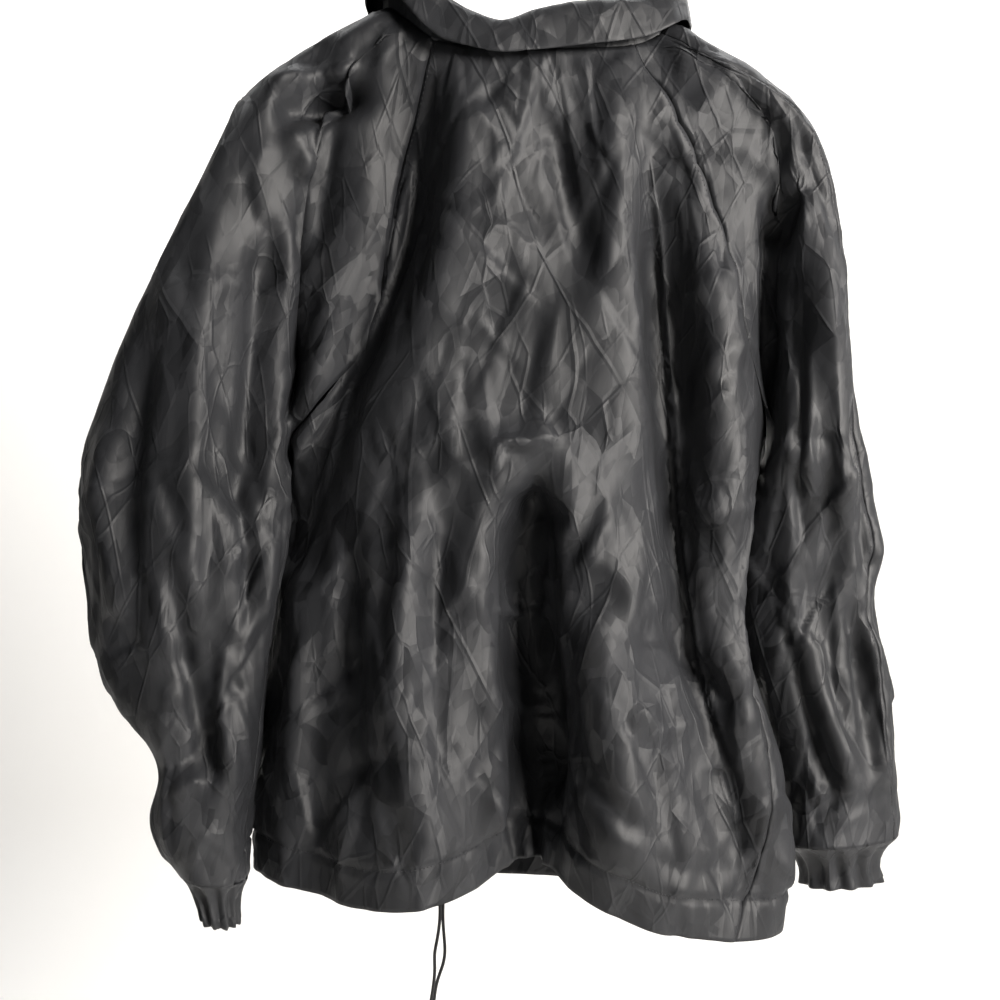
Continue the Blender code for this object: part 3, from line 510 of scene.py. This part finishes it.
stepFolds = [  # one side falls softly, the other at once
    (26, 8, [(191, 640), (158, 548), (141, 440), (129, 318), (123, 240), (117, 170), (106, 90)]),
    (24, 7, [(-98, 84), (-103, 161), (-140, 262), (-174, 380)]),
    (18, 7, [(22, 690), (22, 600), (18, 510), (22, 430)]),
    (30, 11, [(30, 332), (6, 339), (-17, 339), (-25, 360)]),
    (20, 9, [(-4, 482), (-16, 484), (-27, 479)]),
]

# similar folds on the hidden front, which hangs from the same shoulders: places are straight across and down
frontFolds = [
    (18, -9, [(-150, 120), (-160, 300), (-152, 480), (-165, 650)]),
    (20, 8, [(-112, 150), (-122, 330), (-118, 520), (-130, 690)]),
    (18, -9, [(95, 130), (110, 300), (100, 470), (120, 660)]),
    (20, 8, [(58, 250), (68, 420), (60, 600), (68, 700)]),
    (18, 8, [(148, 200), (158, 380), (148, 560), (158, 690)]),
    (12, -7, [(175, 320), (135, 395), (104, 480)]),
    (12, -7, [(-190, 320), (-150, 385), (-118, 465)]),
    (14, -8, [(20, 420), (28, 540), (22, 690)]),
    (12, -8, [(262, 200), (272, 330), (280, 460), (286, 600)]),
    (12, 8, [(236, 240), (246, 380), (256, 520)]),
    (14, -9, [(-290, 200), (-310, 330), (-315, 470), (-300, 600)]),
    (14, 8, [(-250, 230), (-262, 380), (-265, 520)]),
]
# how squarely a point faces to take a stroke, how sharp a crease is, a step's lip in mm, how fast ends fade
strokeForm = {"seen": (0.02, 0.35), "front": (0.1, 0.5), "sharp": 1.25, "lip": 3.5, "fade": 5}


# rise of the strokes at each point, on the side that the camera sees or on the front
def strokeRise(spots, ways, kind, strokes, onFront=False):
    if onFront:
        across, drop = spots[:, 0] / mm, -spots[:, 2] / mm - neckBelowHook
        facing = smoothStep(*strokeForm["front"], ways[:, 1])
    else:
        across, drop = seenPlaces(spots)
        toEye = np.array(camera.location) - spots
        toEye /= np.linalg.norm(toEye, axis=1)[:, None]
        facing = smoothStep(*strokeForm["seen"], (ways * toEye).sum(1))
    rise = np.zeros(len(spots))
    for width, height, points in strokes:
        run = smoothRun(points)
        xs, ds = [p[0] for p in run], [p[1] for p in run]
        near = np.where((across > min(xs) - width) & (across < max(xs) + width)
                        & (drop > min(ds) - width) & (drop < max(ds) + width))[0]
        if not len(near):
            continue
        gap, sign, share = strokeDistance(across[near], drop[near], run)
        t = np.clip(gap / width, 0, 1)
        if kind == "crease":
            form = (1 - t) ** strokeForm["sharp"]
        elif kind == "step":
            form = np.where(sign > 0, (1 - t) ** 2, np.clip(1 - gap / strokeForm["lip"], 0, 1))
        else:
            form = 0.5 * (1 - t * t) ** 2 + 0.5 * (1 - t)
        fade = np.clip(np.minimum(share, 1 - share) * strokeForm["fade"], 0, 1)
        rise[near] += height * form * fade * facing[near]
    return rise


# hard creases strewn over the whole cloth: straight ridges and valleys, each with a wide and a narrow flank
strewn = {"count": 640, "seed": 77, "long": (40, 190), "short": 1.6, "wide": (9, 30), "narrow": (3, 7),
          "slope": (0.06, 0.15), "lean": 0.55, "depth": 40, "facing": 0.2, "ridges": 0.6}
# shallow bowls of cloth that meet in hard edges, in patches: how far a bowl goes, its level, a patch's size
cellForm = {"limit": 3.5, "level": 1.2, "patch": 3.2, "edge": 0.4}
cellLayers = [  # cells in all, rise in mm, stretch down the cloth, lean
    {"cells": 700, "bowl": 0.35, "stretch": 0.3, "lean": 0.4, "seed": 21},
    {"cells": 1500, "bowl": -0.3, "stretch": 0.35, "lean": -0.5, "seed": 22},
]


def strewnRise(spots, ways):
    picker = np.random.default_rng(strewn["seed"])
    rise = np.zeros(len(spots))
    for index in picker.choice(len(spots), strewn["count"], replace=False):
        size, flank, edge, steep, lean, side = picker.random(6)
        half = 0.5 * between(strewn["long"], size ** strewn["short"])
        wide = between(strewn["wide"], flank)
        narrow = between(strewn["narrow"], edge)
        height = wide * between(strewn["slope"], steep)
        turn = strewn["lean"] * picker.standard_normal()
        out = ways[index]
        level = np.cross(out, np.array([0.0, 0.0, 1.0]))
        level /= max(np.linalg.norm(level), 1e-6)
        along = math.cos(turn) * np.cross(level, out) + math.sin(turn) * level
        across = np.cross(out, along) * (1 if side < 0.5 else -1)
        off = (spots - spots[index]) / mm
        near = np.where(np.abs(off).max(1) < max(half, wide))[0]
        run, gap, depth = off[near] @ along, off[near] @ across, off[near] @ out
        flat = np.clip(1 - np.abs(depth) / strewn["depth"], 0, 1) * (ways[near] @ out > strewn["facing"])
        tent = np.clip(np.where(gap > 0, 1 - gap / wide, 1 + gap / narrow), 0, 1)
        ends = np.clip(1 - (run / half) ** 2, 0, 1)
        rise[near] += height * tent * ends * flat * (1 if lean < strewn["ridges"] else -1)
    return rise


def cellRise(spots):
    rise = np.zeros(len(spots))
    for layer in cellLayers:
        sheared = spots.copy()
        sheared[:, 0] += layer["lean"] * spots[:, 2] * layer["stretch"]
        sheared[:, 2] *= layer["stretch"]
        picker = np.random.default_rng(layer["seed"])
        tree = KDTree(layer["cells"])
        for k, index in enumerate(picker.choice(len(spots), layer["cells"], replace=False)):
            tree.insert(sheared[index], k)
        tree.balance()
        near = np.array([tree.find(spot)[2] for spot in sheared])
        bowl = np.clip((near / near.mean()) ** 2, 0, cellForm["limit"]) - cellForm["level"]
        cloud = softNoise(spots / (cellForm["patch"] * near.mean()), layer["seed"])
        mask = smoothStep(-cellForm["edge"], cellForm["edge"], cloud)
        rise += mask * layer["bowl"] * bowl
    return rise


# body and sleeve lean together below the left underarm, so that no light comes between them
underarm = {"across": -202, "start": (318, 332), "end": (385, 402), "reach": 22, "turn": 3, "shift": 5}


def closeUnderarm(spots):
    across, drop = seenPlaces(spots)
    side = across - underarm["across"]
    part = smoothStep(*underarm["start"], drop) * (1 - smoothStep(*underarm["end"], drop))
    pull = np.tanh(side / underarm["turn"]) * np.exp(-(side / underarm["reach"]) ** 2)
    closer = underarm["shift"] * pull * part
    return spots - closer[:, None] * np.array([mm, 0.0, 0.0])


jacketSpots, jacketWays = readPoints(jacketMesh)
foldRise = strokeRise(jacketSpots, jacketWays, "fold", folds)
foldRise += strokeRise(jacketSpots, jacketWays, "fold", frontFolds, True)
jacketSpots = jacketSpots + jacketWays * foldRise[:, None] * mm
writePoints(jacketMesh, closeUnderarm(jacketSpots))
print("main folds placed")

# seams sink a little and pucker, and the hem channel is gathered, in mm
sewn = {"sink": 1.0, "half": 2.6, "pucker": 1.1, "reach": 11, "step": 8, "puckerSeed": 3,
        "calmSeam": 14, "calmHem": (6, 40), "calmLeast": 0.25, "rim": 18,
        "hemBelow": 800, "channel": 32, "over": 10, "under": 6, "groove": 2.4,
        "gather": 1.8, "fold": 12, "stretch": 0.22, "gatherSeed": 4}


# the points on each kind of seam and free edge
def seamPoints(mesh):
    shape = bmesh.new()
    shape.from_mesh(mesh)
    layer = shape.faces.layers.int["panel"]
    found = {"seam": [], "hem": [], "rim": [], "raglan": [], "side": [], "arm": []}
    for vert in shape.verts:
        met = set(panels[f[layer]] for f in vert.link_faces)
        if len(met) > 1:
            found["seam"].append(vert.index)
            sleeves = sum("sleeve" in name for name in met)
            found["side" if sleeves == 0 else "arm" if sleeves == len(met) else "raglan"].append(vert.index)
        elif vert.is_boundary:
            onBody = all("sleeve" not in panels[f[layer]] for f in vert.link_faces)
            low = vert.co.z < -sewn["hemBelow"] * mm
            found["hem" if onBody and low else "rim"].append(vert.index)
    shape.free()
    return found


# distance in mm from each point to the nearest chosen one
def nearTo(spots, chosen):
    tree = KDTree(len(chosen))
    for k, index in enumerate(chosen):
        tree.insert(spots[index], k)
    tree.balance()
    return np.array([tree.find(spot)[2] for spot in spots]) / mm


fineMesh = subdivided(jacketMesh, 1, "jacketFine")
snaps = ["snap_" + str(number) for number in range(1, 6)]
snapSeat = {"sunk": 0.2, "reach": 20, "far": 3.2, "near": 1.3}  # mm, then shares of the snap's radius


# middle, outward way, radius, foot and top of a snap solid
def snapPlace(node):
    spots, _ = readPoints(frame["nodes"][node].data)
    middle = spots.mean(0)
    axis = np.linalg.svd(spots - middle, full_matrices=False)[2][2]
    axis *= np.sign(axis[1])
    along = (spots - middle) @ axis
    radius = np.linalg.norm(spots - middle - along[:, None] * axis, axis=1).max()
    return middle, axis, radius, along.min(), along.max()


# cloth under a snap lies flat against its foot
def pressSnaps(spots):
    for node in snaps:
        middle, axis, radius, foot, _ = snapPlace(node)
        off = spots - middle
        above = off @ axis - foot + snapSeat["sunk"] * mm
        gap = np.linalg.norm(off - (off @ axis)[:, None] * axis, axis=1)
        press = smoothStep(snapSeat["far"] * radius, snapSeat["near"] * radius, gap)
        press *= (above > 0) & (above < snapSeat["reach"] * mm)
        spots = spots - axis * (above * press)[:, None]
    return spots


def finishCloth(mesh):
    spots, ways = readPoints(mesh)
    edges = seamPoints(mesh)
    seamGap = nearTo(spots, edges["seam"])
    hemGap = nearTo(spots, edges["hem"])
    rimGap = nearTo(spots, edges["rim"])
    calm = smoothStep(0, sewn["calmSeam"], seamGap) * smoothStep(*sewn["calmHem"], hemGap)
    crinkle = strewnRise(spots, ways) + cellRise(spots)
    placed = strokeRise(spots, ways, "crease", creases) + strokeRise(spots, ways, "step", stepFolds)
    rise = placed + crinkle * between((sewn["calmLeast"], 1), calm)
    rise *= smoothStep(0, sewn["rim"], rimGap)
    rise -= sewn["sink"] * np.exp(-(seamGap / sewn["half"]) ** 2)
    pucker = softNoise(spots / mm / sewn["step"], sewn["puckerSeed"])
    rise += sewn["pucker"] * pucker * np.exp(-(seamGap / sewn["reach"]) ** 2)
    channel = np.exp(-((hemGap - sewn["channel"]) / sewn["half"]) ** 2)
    inside = smoothStep(sewn["channel"] + sewn["over"], sewn["channel"] - sewn["under"], hemGap)
    flat = spots * np.array([1.0, 1.0, sewn["stretch"]])
    rise += inside * sewn["gather"] * softNoise(flat / mm / sewn["fold"], sewn["gatherSeed"])
    rise -= sewn["groove"] * channel
    writePoints(mesh, pressSnaps(spots + ways * rise[:, None] * mm))


finishCloth(fineMesh)
print("creases, seams and hem channel placed")


# nylon taffeta: black plain weave, dull satin, broken into flat facets that meet in thin straight creases
nylonLook = {
    "lit": "#28292c", "dark": "#1b1c1e", "rough": (0.46, 0.62), "gloss": 0.3,
    "cloud": 111.111,  # mm between paler and darker places
    "bend": (340, 80),  # mm over which the creases change their way, and by how much
    "flat": (0.35, 0.65), "share": (0.45, 1.15),  # where facets are calm or strong
    "crease": 1.5, "depth": 0.6, "strength": 0.8,  # mm, and how hard the creases catch the light
    "gaps": 0.6, "kept": (0.5, 0.62),  # creases come and go along the facets' edges
    "thread": 0.34, "weave": 0.06, "weaveStrength": 0.25,  # mm, coarser than the real thread so that it shows
}
facetLayers = [  # width of a facet in mm, turn, squeeze down the cloth, tilt, height of its creases
    (52, 0.3, 0.22, 0.3, 1.0),
    (30, -0.6, 0.28, 0.34, 0.8),
    (16, 0.15, 0.34, 0.36, 0.8),
    (8, -0.3, 0.3, 0.24, 0.0),
]


def makeNylon():
    made, tree, shader = newMaterial("nylon taffeta")
    look = nylonLook
    spot = addNode(tree, "TexCoord").outputs["Object"]
    normal = addNode(tree, "NewGeometry").outputs["Normal"]
    cloud = addNode(tree, "TexNoise", Vector=spot, Scale=1 / (look["cloud"] * mm), Detail=1.0)
    patches = cloud.outputs["Fac"]
    amount = addNode(tree, "MapRange", Value=patches, From_Min=look["flat"][0],
                     From_Max=look["flat"][1], To_Min=look["share"][0], To_Max=look["share"][1])
    bend, byHowMuch = look["bend"]
    drift = addNode(tree, "TexNoise", Vector=spot, Scale=1 / (bend * mm), Detail=1.0)
    shift = addNode(tree, "VectorMath", {"operation": "SCALE"}, in0=drift.outputs["Color"],
                    Scale=byHowMuch * mm)
    bent = addNode(tree, "VectorMath", {"operation": "ADD"}, in0=spot, in1=shift.outputs[0]).outputs[0]
    height = 0.0
    for size, turn, squeeze, tilt, line in facetLayers:
        turned = addNode(tree, "VectorRotate", {"rotation_type": "Y_AXIS"}, Vector=bent, Angle=turn)
        longer = addNode(tree, "VectorMath", {"operation": "MULTIPLY"}, in0=turned.outputs[0],
                         in1=(1.0, 1.0, squeeze)).outputs[0]
        perFacet = 1 / (size * mm)
        facet = addNode(tree, "TexVoronoi", {"feature": "F1"}, Vector=longer, Scale=perFacet)
        way = addNode(tree, "VectorMath", {"operation": "SUBTRACT"}, in0=facet.outputs["Color"],
                      in1=(0.5, 0.5, 0.5))
        share = addNode(tree, "Math", {"operation": "MULTIPLY"}, in0=amount.outputs[0], in1=tilt)
        lean = addNode(tree, "VectorMath", {"operation": "SCALE"}, in0=way.outputs[0], Scale=share.outputs[0])
        normal = addNode(tree, "VectorMath", {"operation": "ADD"}, in0=normal, in1=lean.outputs[0]).outputs[0]
        edge = addNode(tree, "TexVoronoi", {"feature": "DISTANCE_TO_EDGE"}, Vector=longer,
                       Scale=perFacet)
        crease = addNode(tree, "MapRange", Value=edge.outputs["Distance"], From_Max=look["crease"] / size,
                         To_Min=line, To_Max=0.0)
        patch = addNode(tree, "TexNoise", Vector=longer, Scale=look["gaps"] * perFacet,
                        Detail=0.0)
        kept = addNode(tree, "MapRange", Value=patch.outputs["Fac"], From_Min=look["kept"][0],
                       From_Max=look["kept"][1])
        some = addNode(tree, "Math", {"operation": "MULTIPLY"}, in0=crease.outputs[0], in1=kept.outputs[0])
        height = addNode(tree, "Math", {"operation": "ADD"}, in0=height, in1=some.outputs[0]).outputs[0]
    even = addNode(tree, "VectorMath", {"operation": "NORMALIZE"}, in0=normal)
    creased = addNode(tree, "Bump", Strength=look["strength"],
                      Distance=look["depth"] * mm, Height=height, Normal=even.outputs[0])
    turns = math.pi / (look["thread"] * mm)
    split = addNode(tree, "SeparateXYZ", Vector=spot)
    waves = []
    for axis in (0, 2):
        phase = addNode(tree, "Math", {"operation": "MULTIPLY"}, in0=split.outputs[axis], in1=turns)
        waves.append(addNode(tree, "Math", {"operation": "SINE"}, in0=phase.outputs[0]).outputs[0])
    weave = addNode(tree, "Math", {"operation": "MULTIPLY"}, in0=waves[0], in1=waves[1])
    woven = addNode(tree, "Bump", Strength=look["weaveStrength"],
                    Distance=look["weave"] * mm, Height=weave.outputs[0], Normal=creased.outputs[0])
    tree.links.new(woven.outputs[0], shader.inputs["Normal"])
    tone = addNode(tree, "Mix", {"data_type": "RGBA"}, Factor=patches)
    tone.inputs[6].default_value = linear(look["dark"])
    tone.inputs[7].default_value = linear(look["lit"])
    tree.links.new(tone.outputs[2], shader.inputs["Base Color"])
    rough = addNode(tree, "MapRange", Value=patches, To_Min=look["rough"][0], To_Max=look["rough"][1])
    tree.links.new(rough.outputs[0], shader.inputs["Roughness"])
    shader.inputs["Specular IOR Level"].default_value = look["gloss"]
    return made


# thread is dull and spun, lacquer smooth and black, nickel bright: one colour each, with a fine grain
fineGrain = {"size": 2.381, "spread": 0.07, "strength": 0.2, "depth": 0.05}  # mm


def makePlain(name, colour, roughness, metallic):
    made, tree, shader = newMaterial(name)
    spot = addNode(tree, "TexCoord").outputs["Object"]
    wear = addNode(tree, "TexNoise", Vector=spot, Scale=1 / (fineGrain["size"] * mm), Detail=3.0)
    shade = addNode(tree, "MapRange", Value=wear.outputs["Fac"],
                    To_Min=roughness - fineGrain["spread"], To_Max=roughness + fineGrain["spread"])
    tree.links.new(shade.outputs[0], shader.inputs["Roughness"])
    grain = addNode(tree, "Bump", Strength=fineGrain["strength"], Distance=fineGrain["depth"] * mm,
                    Height=wear.outputs["Fac"])
    tree.links.new(grain.outputs[0], shader.inputs["Normal"])
    shader.inputs["Base Color"].default_value = linear(colour)
    shader.inputs["Metallic"].default_value = metallic
    return made


# cord: dull black braid, its strands crossing in small diamonds
braidLook = {"strand": 0.8, "relief": 0.2, "strength": 0.6, "colour": "#151517", "rough": 0.75}  # mm


def makeBraid():
    made, tree, shader = newMaterial("braided polyester cord")
    spot = addNode(tree, "TexCoord").outputs["Object"]
    split = addNode(tree, "SeparateXYZ", Vector=spot)
    turns = math.pi / (braidLook["strand"] * mm)
    waves = []
    for operation in ("ADD", "SUBTRACT"):
        slant = addNode(tree, "Math", {"operation": operation}, in0=split.outputs[2], in1=split.outputs[0])
        phase = addNode(tree, "Math", {"operation": "MULTIPLY"}, in0=slant.outputs[0], in1=turns)
        waves.append(addNode(tree, "Math", {"operation": "SINE"}, in0=phase.outputs[0]).outputs[0])
    diamonds = addNode(tree, "Math", {"operation": "MULTIPLY"}, in0=waves[0], in1=waves[1])
    relief = addNode(tree, "Bump", Strength=braidLook["strength"],
                     Distance=braidLook["relief"] * mm, Height=diamonds.outputs[0])
    tree.links.new(relief.outputs[0], shader.inputs["Normal"])
    shader.inputs["Base Color"].default_value = linear(braidLook["colour"])
    shader.inputs["Roughness"].default_value = braidLook["rough"]
    return made


nylon = makeNylon()
braid = makeBraid()
thread = makePlain("spun polyester thread", "#232427", 0.7, 0.0)
lacquer = makePlain("black lacquered brass", "#17181a", 0.34, 0.4)


clothWall = 0.9  # mm


# gives a finished soft piece its material, its wall and its place in the frame
def dressSheet(piece, node, thickness):
    piece.data.shade_smooth()
    piece.data.materials.clear()
    piece.data.materials.append(nylon)
    if thickness:
        shell = piece.modifiers.new("wall", "SOLIDIFY")
        shell.thickness = thickness * mm
        shell.offset = -1
    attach(piece, "root")
    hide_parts(node)
    print("sheet", node, len(piece.data.polygons), "faces")


# one object per panel, cut from the finished cloth
def cutPanel(number, node, mesh):
    shape = bmesh.new()
    shape.from_mesh(mesh)
    layer = shape.faces.layers.int["panel"]
    bmesh.ops.delete(shape, geom=[f for f in shape.faces if f[layer] != number], context="FACES")
    piece = linkObject(node + "Cloth", meshFrom(shape, node))
    dressSheet(piece, node, clothWall)


for number, node in enumerate(panels):
    cutPanel(number, node, fineMesh)

# collar and cuffs: the solid's folded wall made finer, softly rounded and crinkled
softPieces = {  # levels, crinkle in mm, slot
    "collar": (2, 0.9, "nylon_taffeta"),
    "cuff_left": (1, 0.7, "elastic_casing"),
    "cuff_right": (1, 0.7, "elastic_casing"),
}
softForm = {"flat": 0.7, "square": 0.9, "rounds": 2, "stretch": 0.6,  # angles of faces to join, in radians
            "coarse": 16, "coarseSeed": 31, "fine": 7, "fineSeed": 32, "fineShare": 0.5}  # mm


def softCopy(node, levels, crinkle, slot):
    shape = bmesh.new()
    shape.from_mesh(frame["nodes"][node].data)
    bmesh.ops.remove_doubles(shape, verts=shape.verts, dist=skin["merge"] * mm)
    bmesh.ops.join_triangles(shape, faces=shape.faces, angle_face_threshold=softForm["flat"],
                             angle_shape_threshold=softForm["square"])
    cage = meshFrom(shape, node + "Cage")
    fitCage(cage, levels, softForm["rounds"])
    finer = subdivided(cage, levels, node + "Finer")
    spots, ways = readPoints(finer)
    flat = spots * np.array([1.0, 1.0, softForm["stretch"]])
    coarse = softNoise(flat / mm / softForm["coarse"], softForm["coarseSeed"])
    fine = softNoise(flat / mm / softForm["fine"], softForm["fineSeed"])
    rise = crinkle * (coarse + softForm["fineShare"] * fine)
    writePoints(finer, spots + ways * rise[:, None] * mm)
    dressSheet(linkObject(node + "Cloth", finer), node, 0)


for node, form in softPieces.items():
    softCopy(node, *form)
print("collar and cuffs made")

# lockstitch: each stitch is a small spindle of thread that dips into the cloth at both ends, in mm
stitch = {"pitch": 3.8, "long": 2.9, "wide": 0.38, "high": 0.3, "lift": 0.12, "dip": 0.8, "edge": 2.6,
          "least": 1e-6}
shortestRun = 8  # places


# lines where a distance over the cloth has one value, as runs of (place, outward way)
def levelRuns(mesh, gaps, level, wanted):
    spots, ways = readPoints(mesh)
    links = {}
    for face in mesh.polygons:
        if not wanted[face.index]:
            continue
        loop = list(face.vertices)
        sides = [(min(a, b), max(a, b)) for a, b in zip(loop, loop[1:] + loop[:1])]
        crossed = [(a, b) for a, b in sides if (gaps[a] < level) != (gaps[b] < level)]
        if len(crossed) == 2:
            links.setdefault(crossed[0], []).append(crossed[1])
            links.setdefault(crossed[1], []).append(crossed[0])
    runs, used = [], set()
    for start in [k for k in links if len(links[k]) == 1] + list(links):
        if start in used:
            continue
        chain = [start]
        used.add(start)
        ahead = links[start]
        while ahead:
            chain.append(ahead[0])
            used.add(ahead[0])
            ahead = [k for k in links[chain[-1]] if k not in used]
        if len(chain) > shortestRun:
            shares = [(level - gaps[a]) / (gaps[b] - gaps[a]) for a, b in chain]
            runs.append([(spots[a] + (spots[b] - spots[a]) * t, ways[a] + (ways[b] - ways[a]) * t)
                         for (a, b), t in zip(chain, shares)])
    return runs


def sewRun(shape, run):
    left = 0.0
    for (spot, way), (after, _) in zip(run, run[1:]):
        along = after - spot
        length = np.linalg.norm(along) / mm
        if length < stitch["least"]:
            continue
        left += length
        if left < stitch["pitch"]:
            continue
        left -= stitch["pitch"]
        along /= length * mm
        way = way / np.linalg.norm(way)
        cross = np.cross(way, along)
        middle = spot + way * stitch["lift"] * mm
        half = along * stitch["long"] / 2 * mm
        side = cross * stitch["wide"] * mm
        top = way * stitch["high"] * mm
        ring = [shape.verts.new(middle + off) for off in (side, top, -side, -top)]
        ends = [shape.verts.new(middle - top * stitch["dip"] + off) for off in (half, -half)]
        for first, second in zip(ring, ring[1:] + ring[:1]):
            shape.faces.new((first, second, ends[0]))
            shape.faces.new((second, first, ends[1]))


def sewJacket(mesh):
    spots = readPoints(mesh)[0]
    edges = seamPoints(mesh)
    number = np.zeros(len(mesh.polygons), dtype=np.int32)
    mesh.attributes["panel"].data.foreach_get("value", number)
    names = np.array(panels)[number]
    body = np.array(["sleeve" not in name for name in names])
    backHalf = np.array([name.startswith("sleeve_back") for name in names])
    edge = stitch["edge"]
    rows = [("raglan", edge, body), ("side", edge, names == "back"), ("arm", edge, backHalf),
            ("hem", sewn["channel"], body)]
    shape = bmesh.new()
    for kind, level, wanted in rows:
        runs = levelRuns(mesh, nearTo(spots, edges[kind]), level, wanted)
        for run in runs:
            sewRun(shape, run)
        print("stitched", kind, len(runs), "runs")
    bmesh.ops.recalc_face_normals(shape, faces=shape.faces)
    made = meshFrom(shape, "topStitching")
    made.shade_smooth()
    made.materials.append(thread)
    piece = linkObject("topStitching", made)
    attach(piece, "root")
    print("stitching", len(made.polygons), "faces")


sewJacket(fineMesh)


# snap caps: pressed domes with a rolled rim, as (share of the radius, share of the height)
snapCap = [(0.0, 1.0), (0.4, 0.98), (0.66, 0.88), (0.78, 0.68), (0.82, 0.66), (0.87, 0.76), (0.95, 0.72),
           (1.0, 0.5), (1.0, 0.0)]
snapMesh = {"steps": 32, "merge": 0.01}  # round the cap, and mm


def makeSnap(node):
    middle, axis, radius, foot, top = snapPlace(node)
    axis = Vector(axis)
    base = Vector(middle) + axis * foot
    across = axis.orthogonal().normalized()
    shape = bmesh.new()
    points = [shape.verts.new(base + across * radius * r + axis * (top - foot) * h) for r, h in snapCap]
    lines = [shape.edges.new(pair) for pair in zip(points, points[1:])]
    bmesh.ops.spin(shape, geom=points + lines, axis=axis, cent=base, angle=2 * math.pi,
                   steps=snapMesh["steps"], use_merge=True)
    bmesh.ops.remove_doubles(shape, verts=shape.verts, dist=snapMesh["merge"] * mm)
    bmesh.ops.recalc_face_normals(shape, faces=shape.faces)
    made = meshFrom(shape, node)
    made.shade_smooth()
    made.materials.append(lacquer)
    piece = linkObject(node + "Cap", made)
    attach(piece, "root")
    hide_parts(node)


for node in snaps:
    makeSnap(node)

# hanger arms: pale beech with its grain along the arm; hook: bright nickel
beechLook = {"dark": "#b98f60", "pale": "#dcbd93", "grain": (14.0, 260.0, 260.0),  # rings for each m
             "rough": 0.42, "pores": 0.1, "strength": 0.3}  # mm


def makeBeech():
    made, tree, shader = newMaterial("waxed beech")
    spot = addNode(tree, "TexCoord").outputs["Object"]
    rings = addNode(tree, "VectorMath", {"operation": "MULTIPLY"}, in0=spot, in1=beechLook["grain"])
    grain = addNode(tree, "TexNoise", Vector=rings.outputs[0], Scale=1.0, Detail=4.0, Roughness=0.6)
    tone = addNode(tree, "Mix", {"data_type": "RGBA"}, Factor=grain.outputs["Fac"])
    tone.inputs[6].default_value = linear(beechLook["dark"])
    tone.inputs[7].default_value = linear(beechLook["pale"])
    tree.links.new(tone.outputs[2], shader.inputs["Base Color"])
    pores = addNode(tree, "Bump", Strength=beechLook["strength"], Distance=beechLook["pores"] * mm,
                    Height=grain.outputs["Fac"])
    tree.links.new(pores.outputs[0], shader.inputs["Normal"])
    shader.inputs["Roughness"].default_value = beechLook["rough"]
    return made


# a modifier that shades a solid smoothly and leaves its mesh as it is
smoothShade = bpy.data.node_groups.new("smoothShade", "GeometryNodeTree")
for way in ("INPUT", "OUTPUT"):
    smoothShade.interface.new_socket("Geometry", in_out=way, socket_type="NodeSocketGeometry")
came = smoothShade.nodes.new("NodeGroupInput")
shaded = smoothShade.nodes.new("GeometryNodeSetShadeSmooth")
left = smoothShade.nodes.new("NodeGroupOutput")
smoothShade.links.new(came.outputs[0], shaded.inputs[0])
smoothShade.links.new(shaded.outputs[0], left.inputs[0])

hangerLooks = {"hanger_arms": makeBeech(),
               "hanger_hook": makePlain("nickel plated wire", "#c9c8c4", 0.24, 1.0)}
for node, material in hangerLooks.items():
    solid = frame["nodes"][node]
    solid.data.materials.clear()
    solid.data.materials.append(material)
    joined = solid.modifiers.new("joined", "WELD")
    joined.merge_threshold = skin["merge"] * mm
    rounder = solid.modifiers.new("rounder", "SUBSURF")
    rounder.levels = rounder.render_levels = 1
    solid.modifiers.new("smooth", "NODES").node_group = smoothShade
print("snaps and hanger finished")

# the strands of the hem cord, on the same points as their solids: across, depth and drop in mm
cordPoints = {
    "drawstring_left": [
        (-79.5, 52.8, 726.1), (-78.9, 52.7, 733.4), (-78.0, 52.5, 740.7), (-76.8, 52.3, 747.9),
        (-76.3, 52.2, 755.2), (-76.2, 52.2, 762.5), (-76.6, 52.2, 769.7), (-77.4, 52.3, 777.0),
        (-78.5, 52.4, 784.2), (-79.9, 52.5, 791.5), (-81.3, 52.6, 798.8), (-81.3, 52.6, 806.0),
        (-81.0, 52.6, 813.3), (-81.4, 52.5, 820.6), (-82.2, 52.4, 827.8), (-83.3, 52.4, 835.1),
        (-84.5, 52.4, 842.3), (-85.4, 52.5, 849.6), (-86.2, 52.6, 856.9), (-87.0, 52.8, 864.1),
    ],
    "drawstring_right": [
        (-70.0, 58.1, 726.3), (-70.8, 58.5, 733.6), (-71.8, 58.9, 740.8), (-73.1, 59.2, 748.1),
        (-73.8, 59.4, 755.4), (-74.0, 59.5, 762.6), (-74.0, 59.5, 769.9), (-73.7, 59.5, 777.1),
        (-73.1, 59.4, 784.4), (-72.5, 59.2, 791.7), (-72.0, 59.1, 798.9), (-72.6, 59.1, 806.2),
        (-74.3, 59.1, 813.5), (-77.1, 59.2, 820.7), (-79.4, 59.4, 828.0), (-80.9, 59.5, 835.2),
        (-81.9, 59.5, 842.5), (-82.5, 59.5, 849.8), (-82.7, 59.4, 857.0), (-83.0, 59.3, 864.3),
    ],
}
cordSize = {"radius": 1.5, "sides": 3, "order": 4, "steps": 6}  # mm


def makeCord(node):
    points = [place(*p) for p in cordPoints[node]]
    curve = bpy.data.curves.new(node + "Cord", "CURVE")
    curve.dimensions = "3D"
    curve.bevel_depth = cordSize["radius"] * mm
    curve.bevel_resolution = cordSize["sides"]
    curve.use_fill_caps = True
    line = curve.splines.new("NURBS")
    line.points.add(len(points) - 1)
    for knot, point in zip(line.points, points):
        knot.co = (*point, 1.0)
    line.order_u = cordSize["order"]
    line.use_endpoint_u = True
    line.resolution_u = cordSize["steps"]
    piece = linkObject(node + "Cord", curve)
    curve.materials.append(braid)
    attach(piece, "root")
    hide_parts(node)


for node in cordPoints:
    makeCord(node)
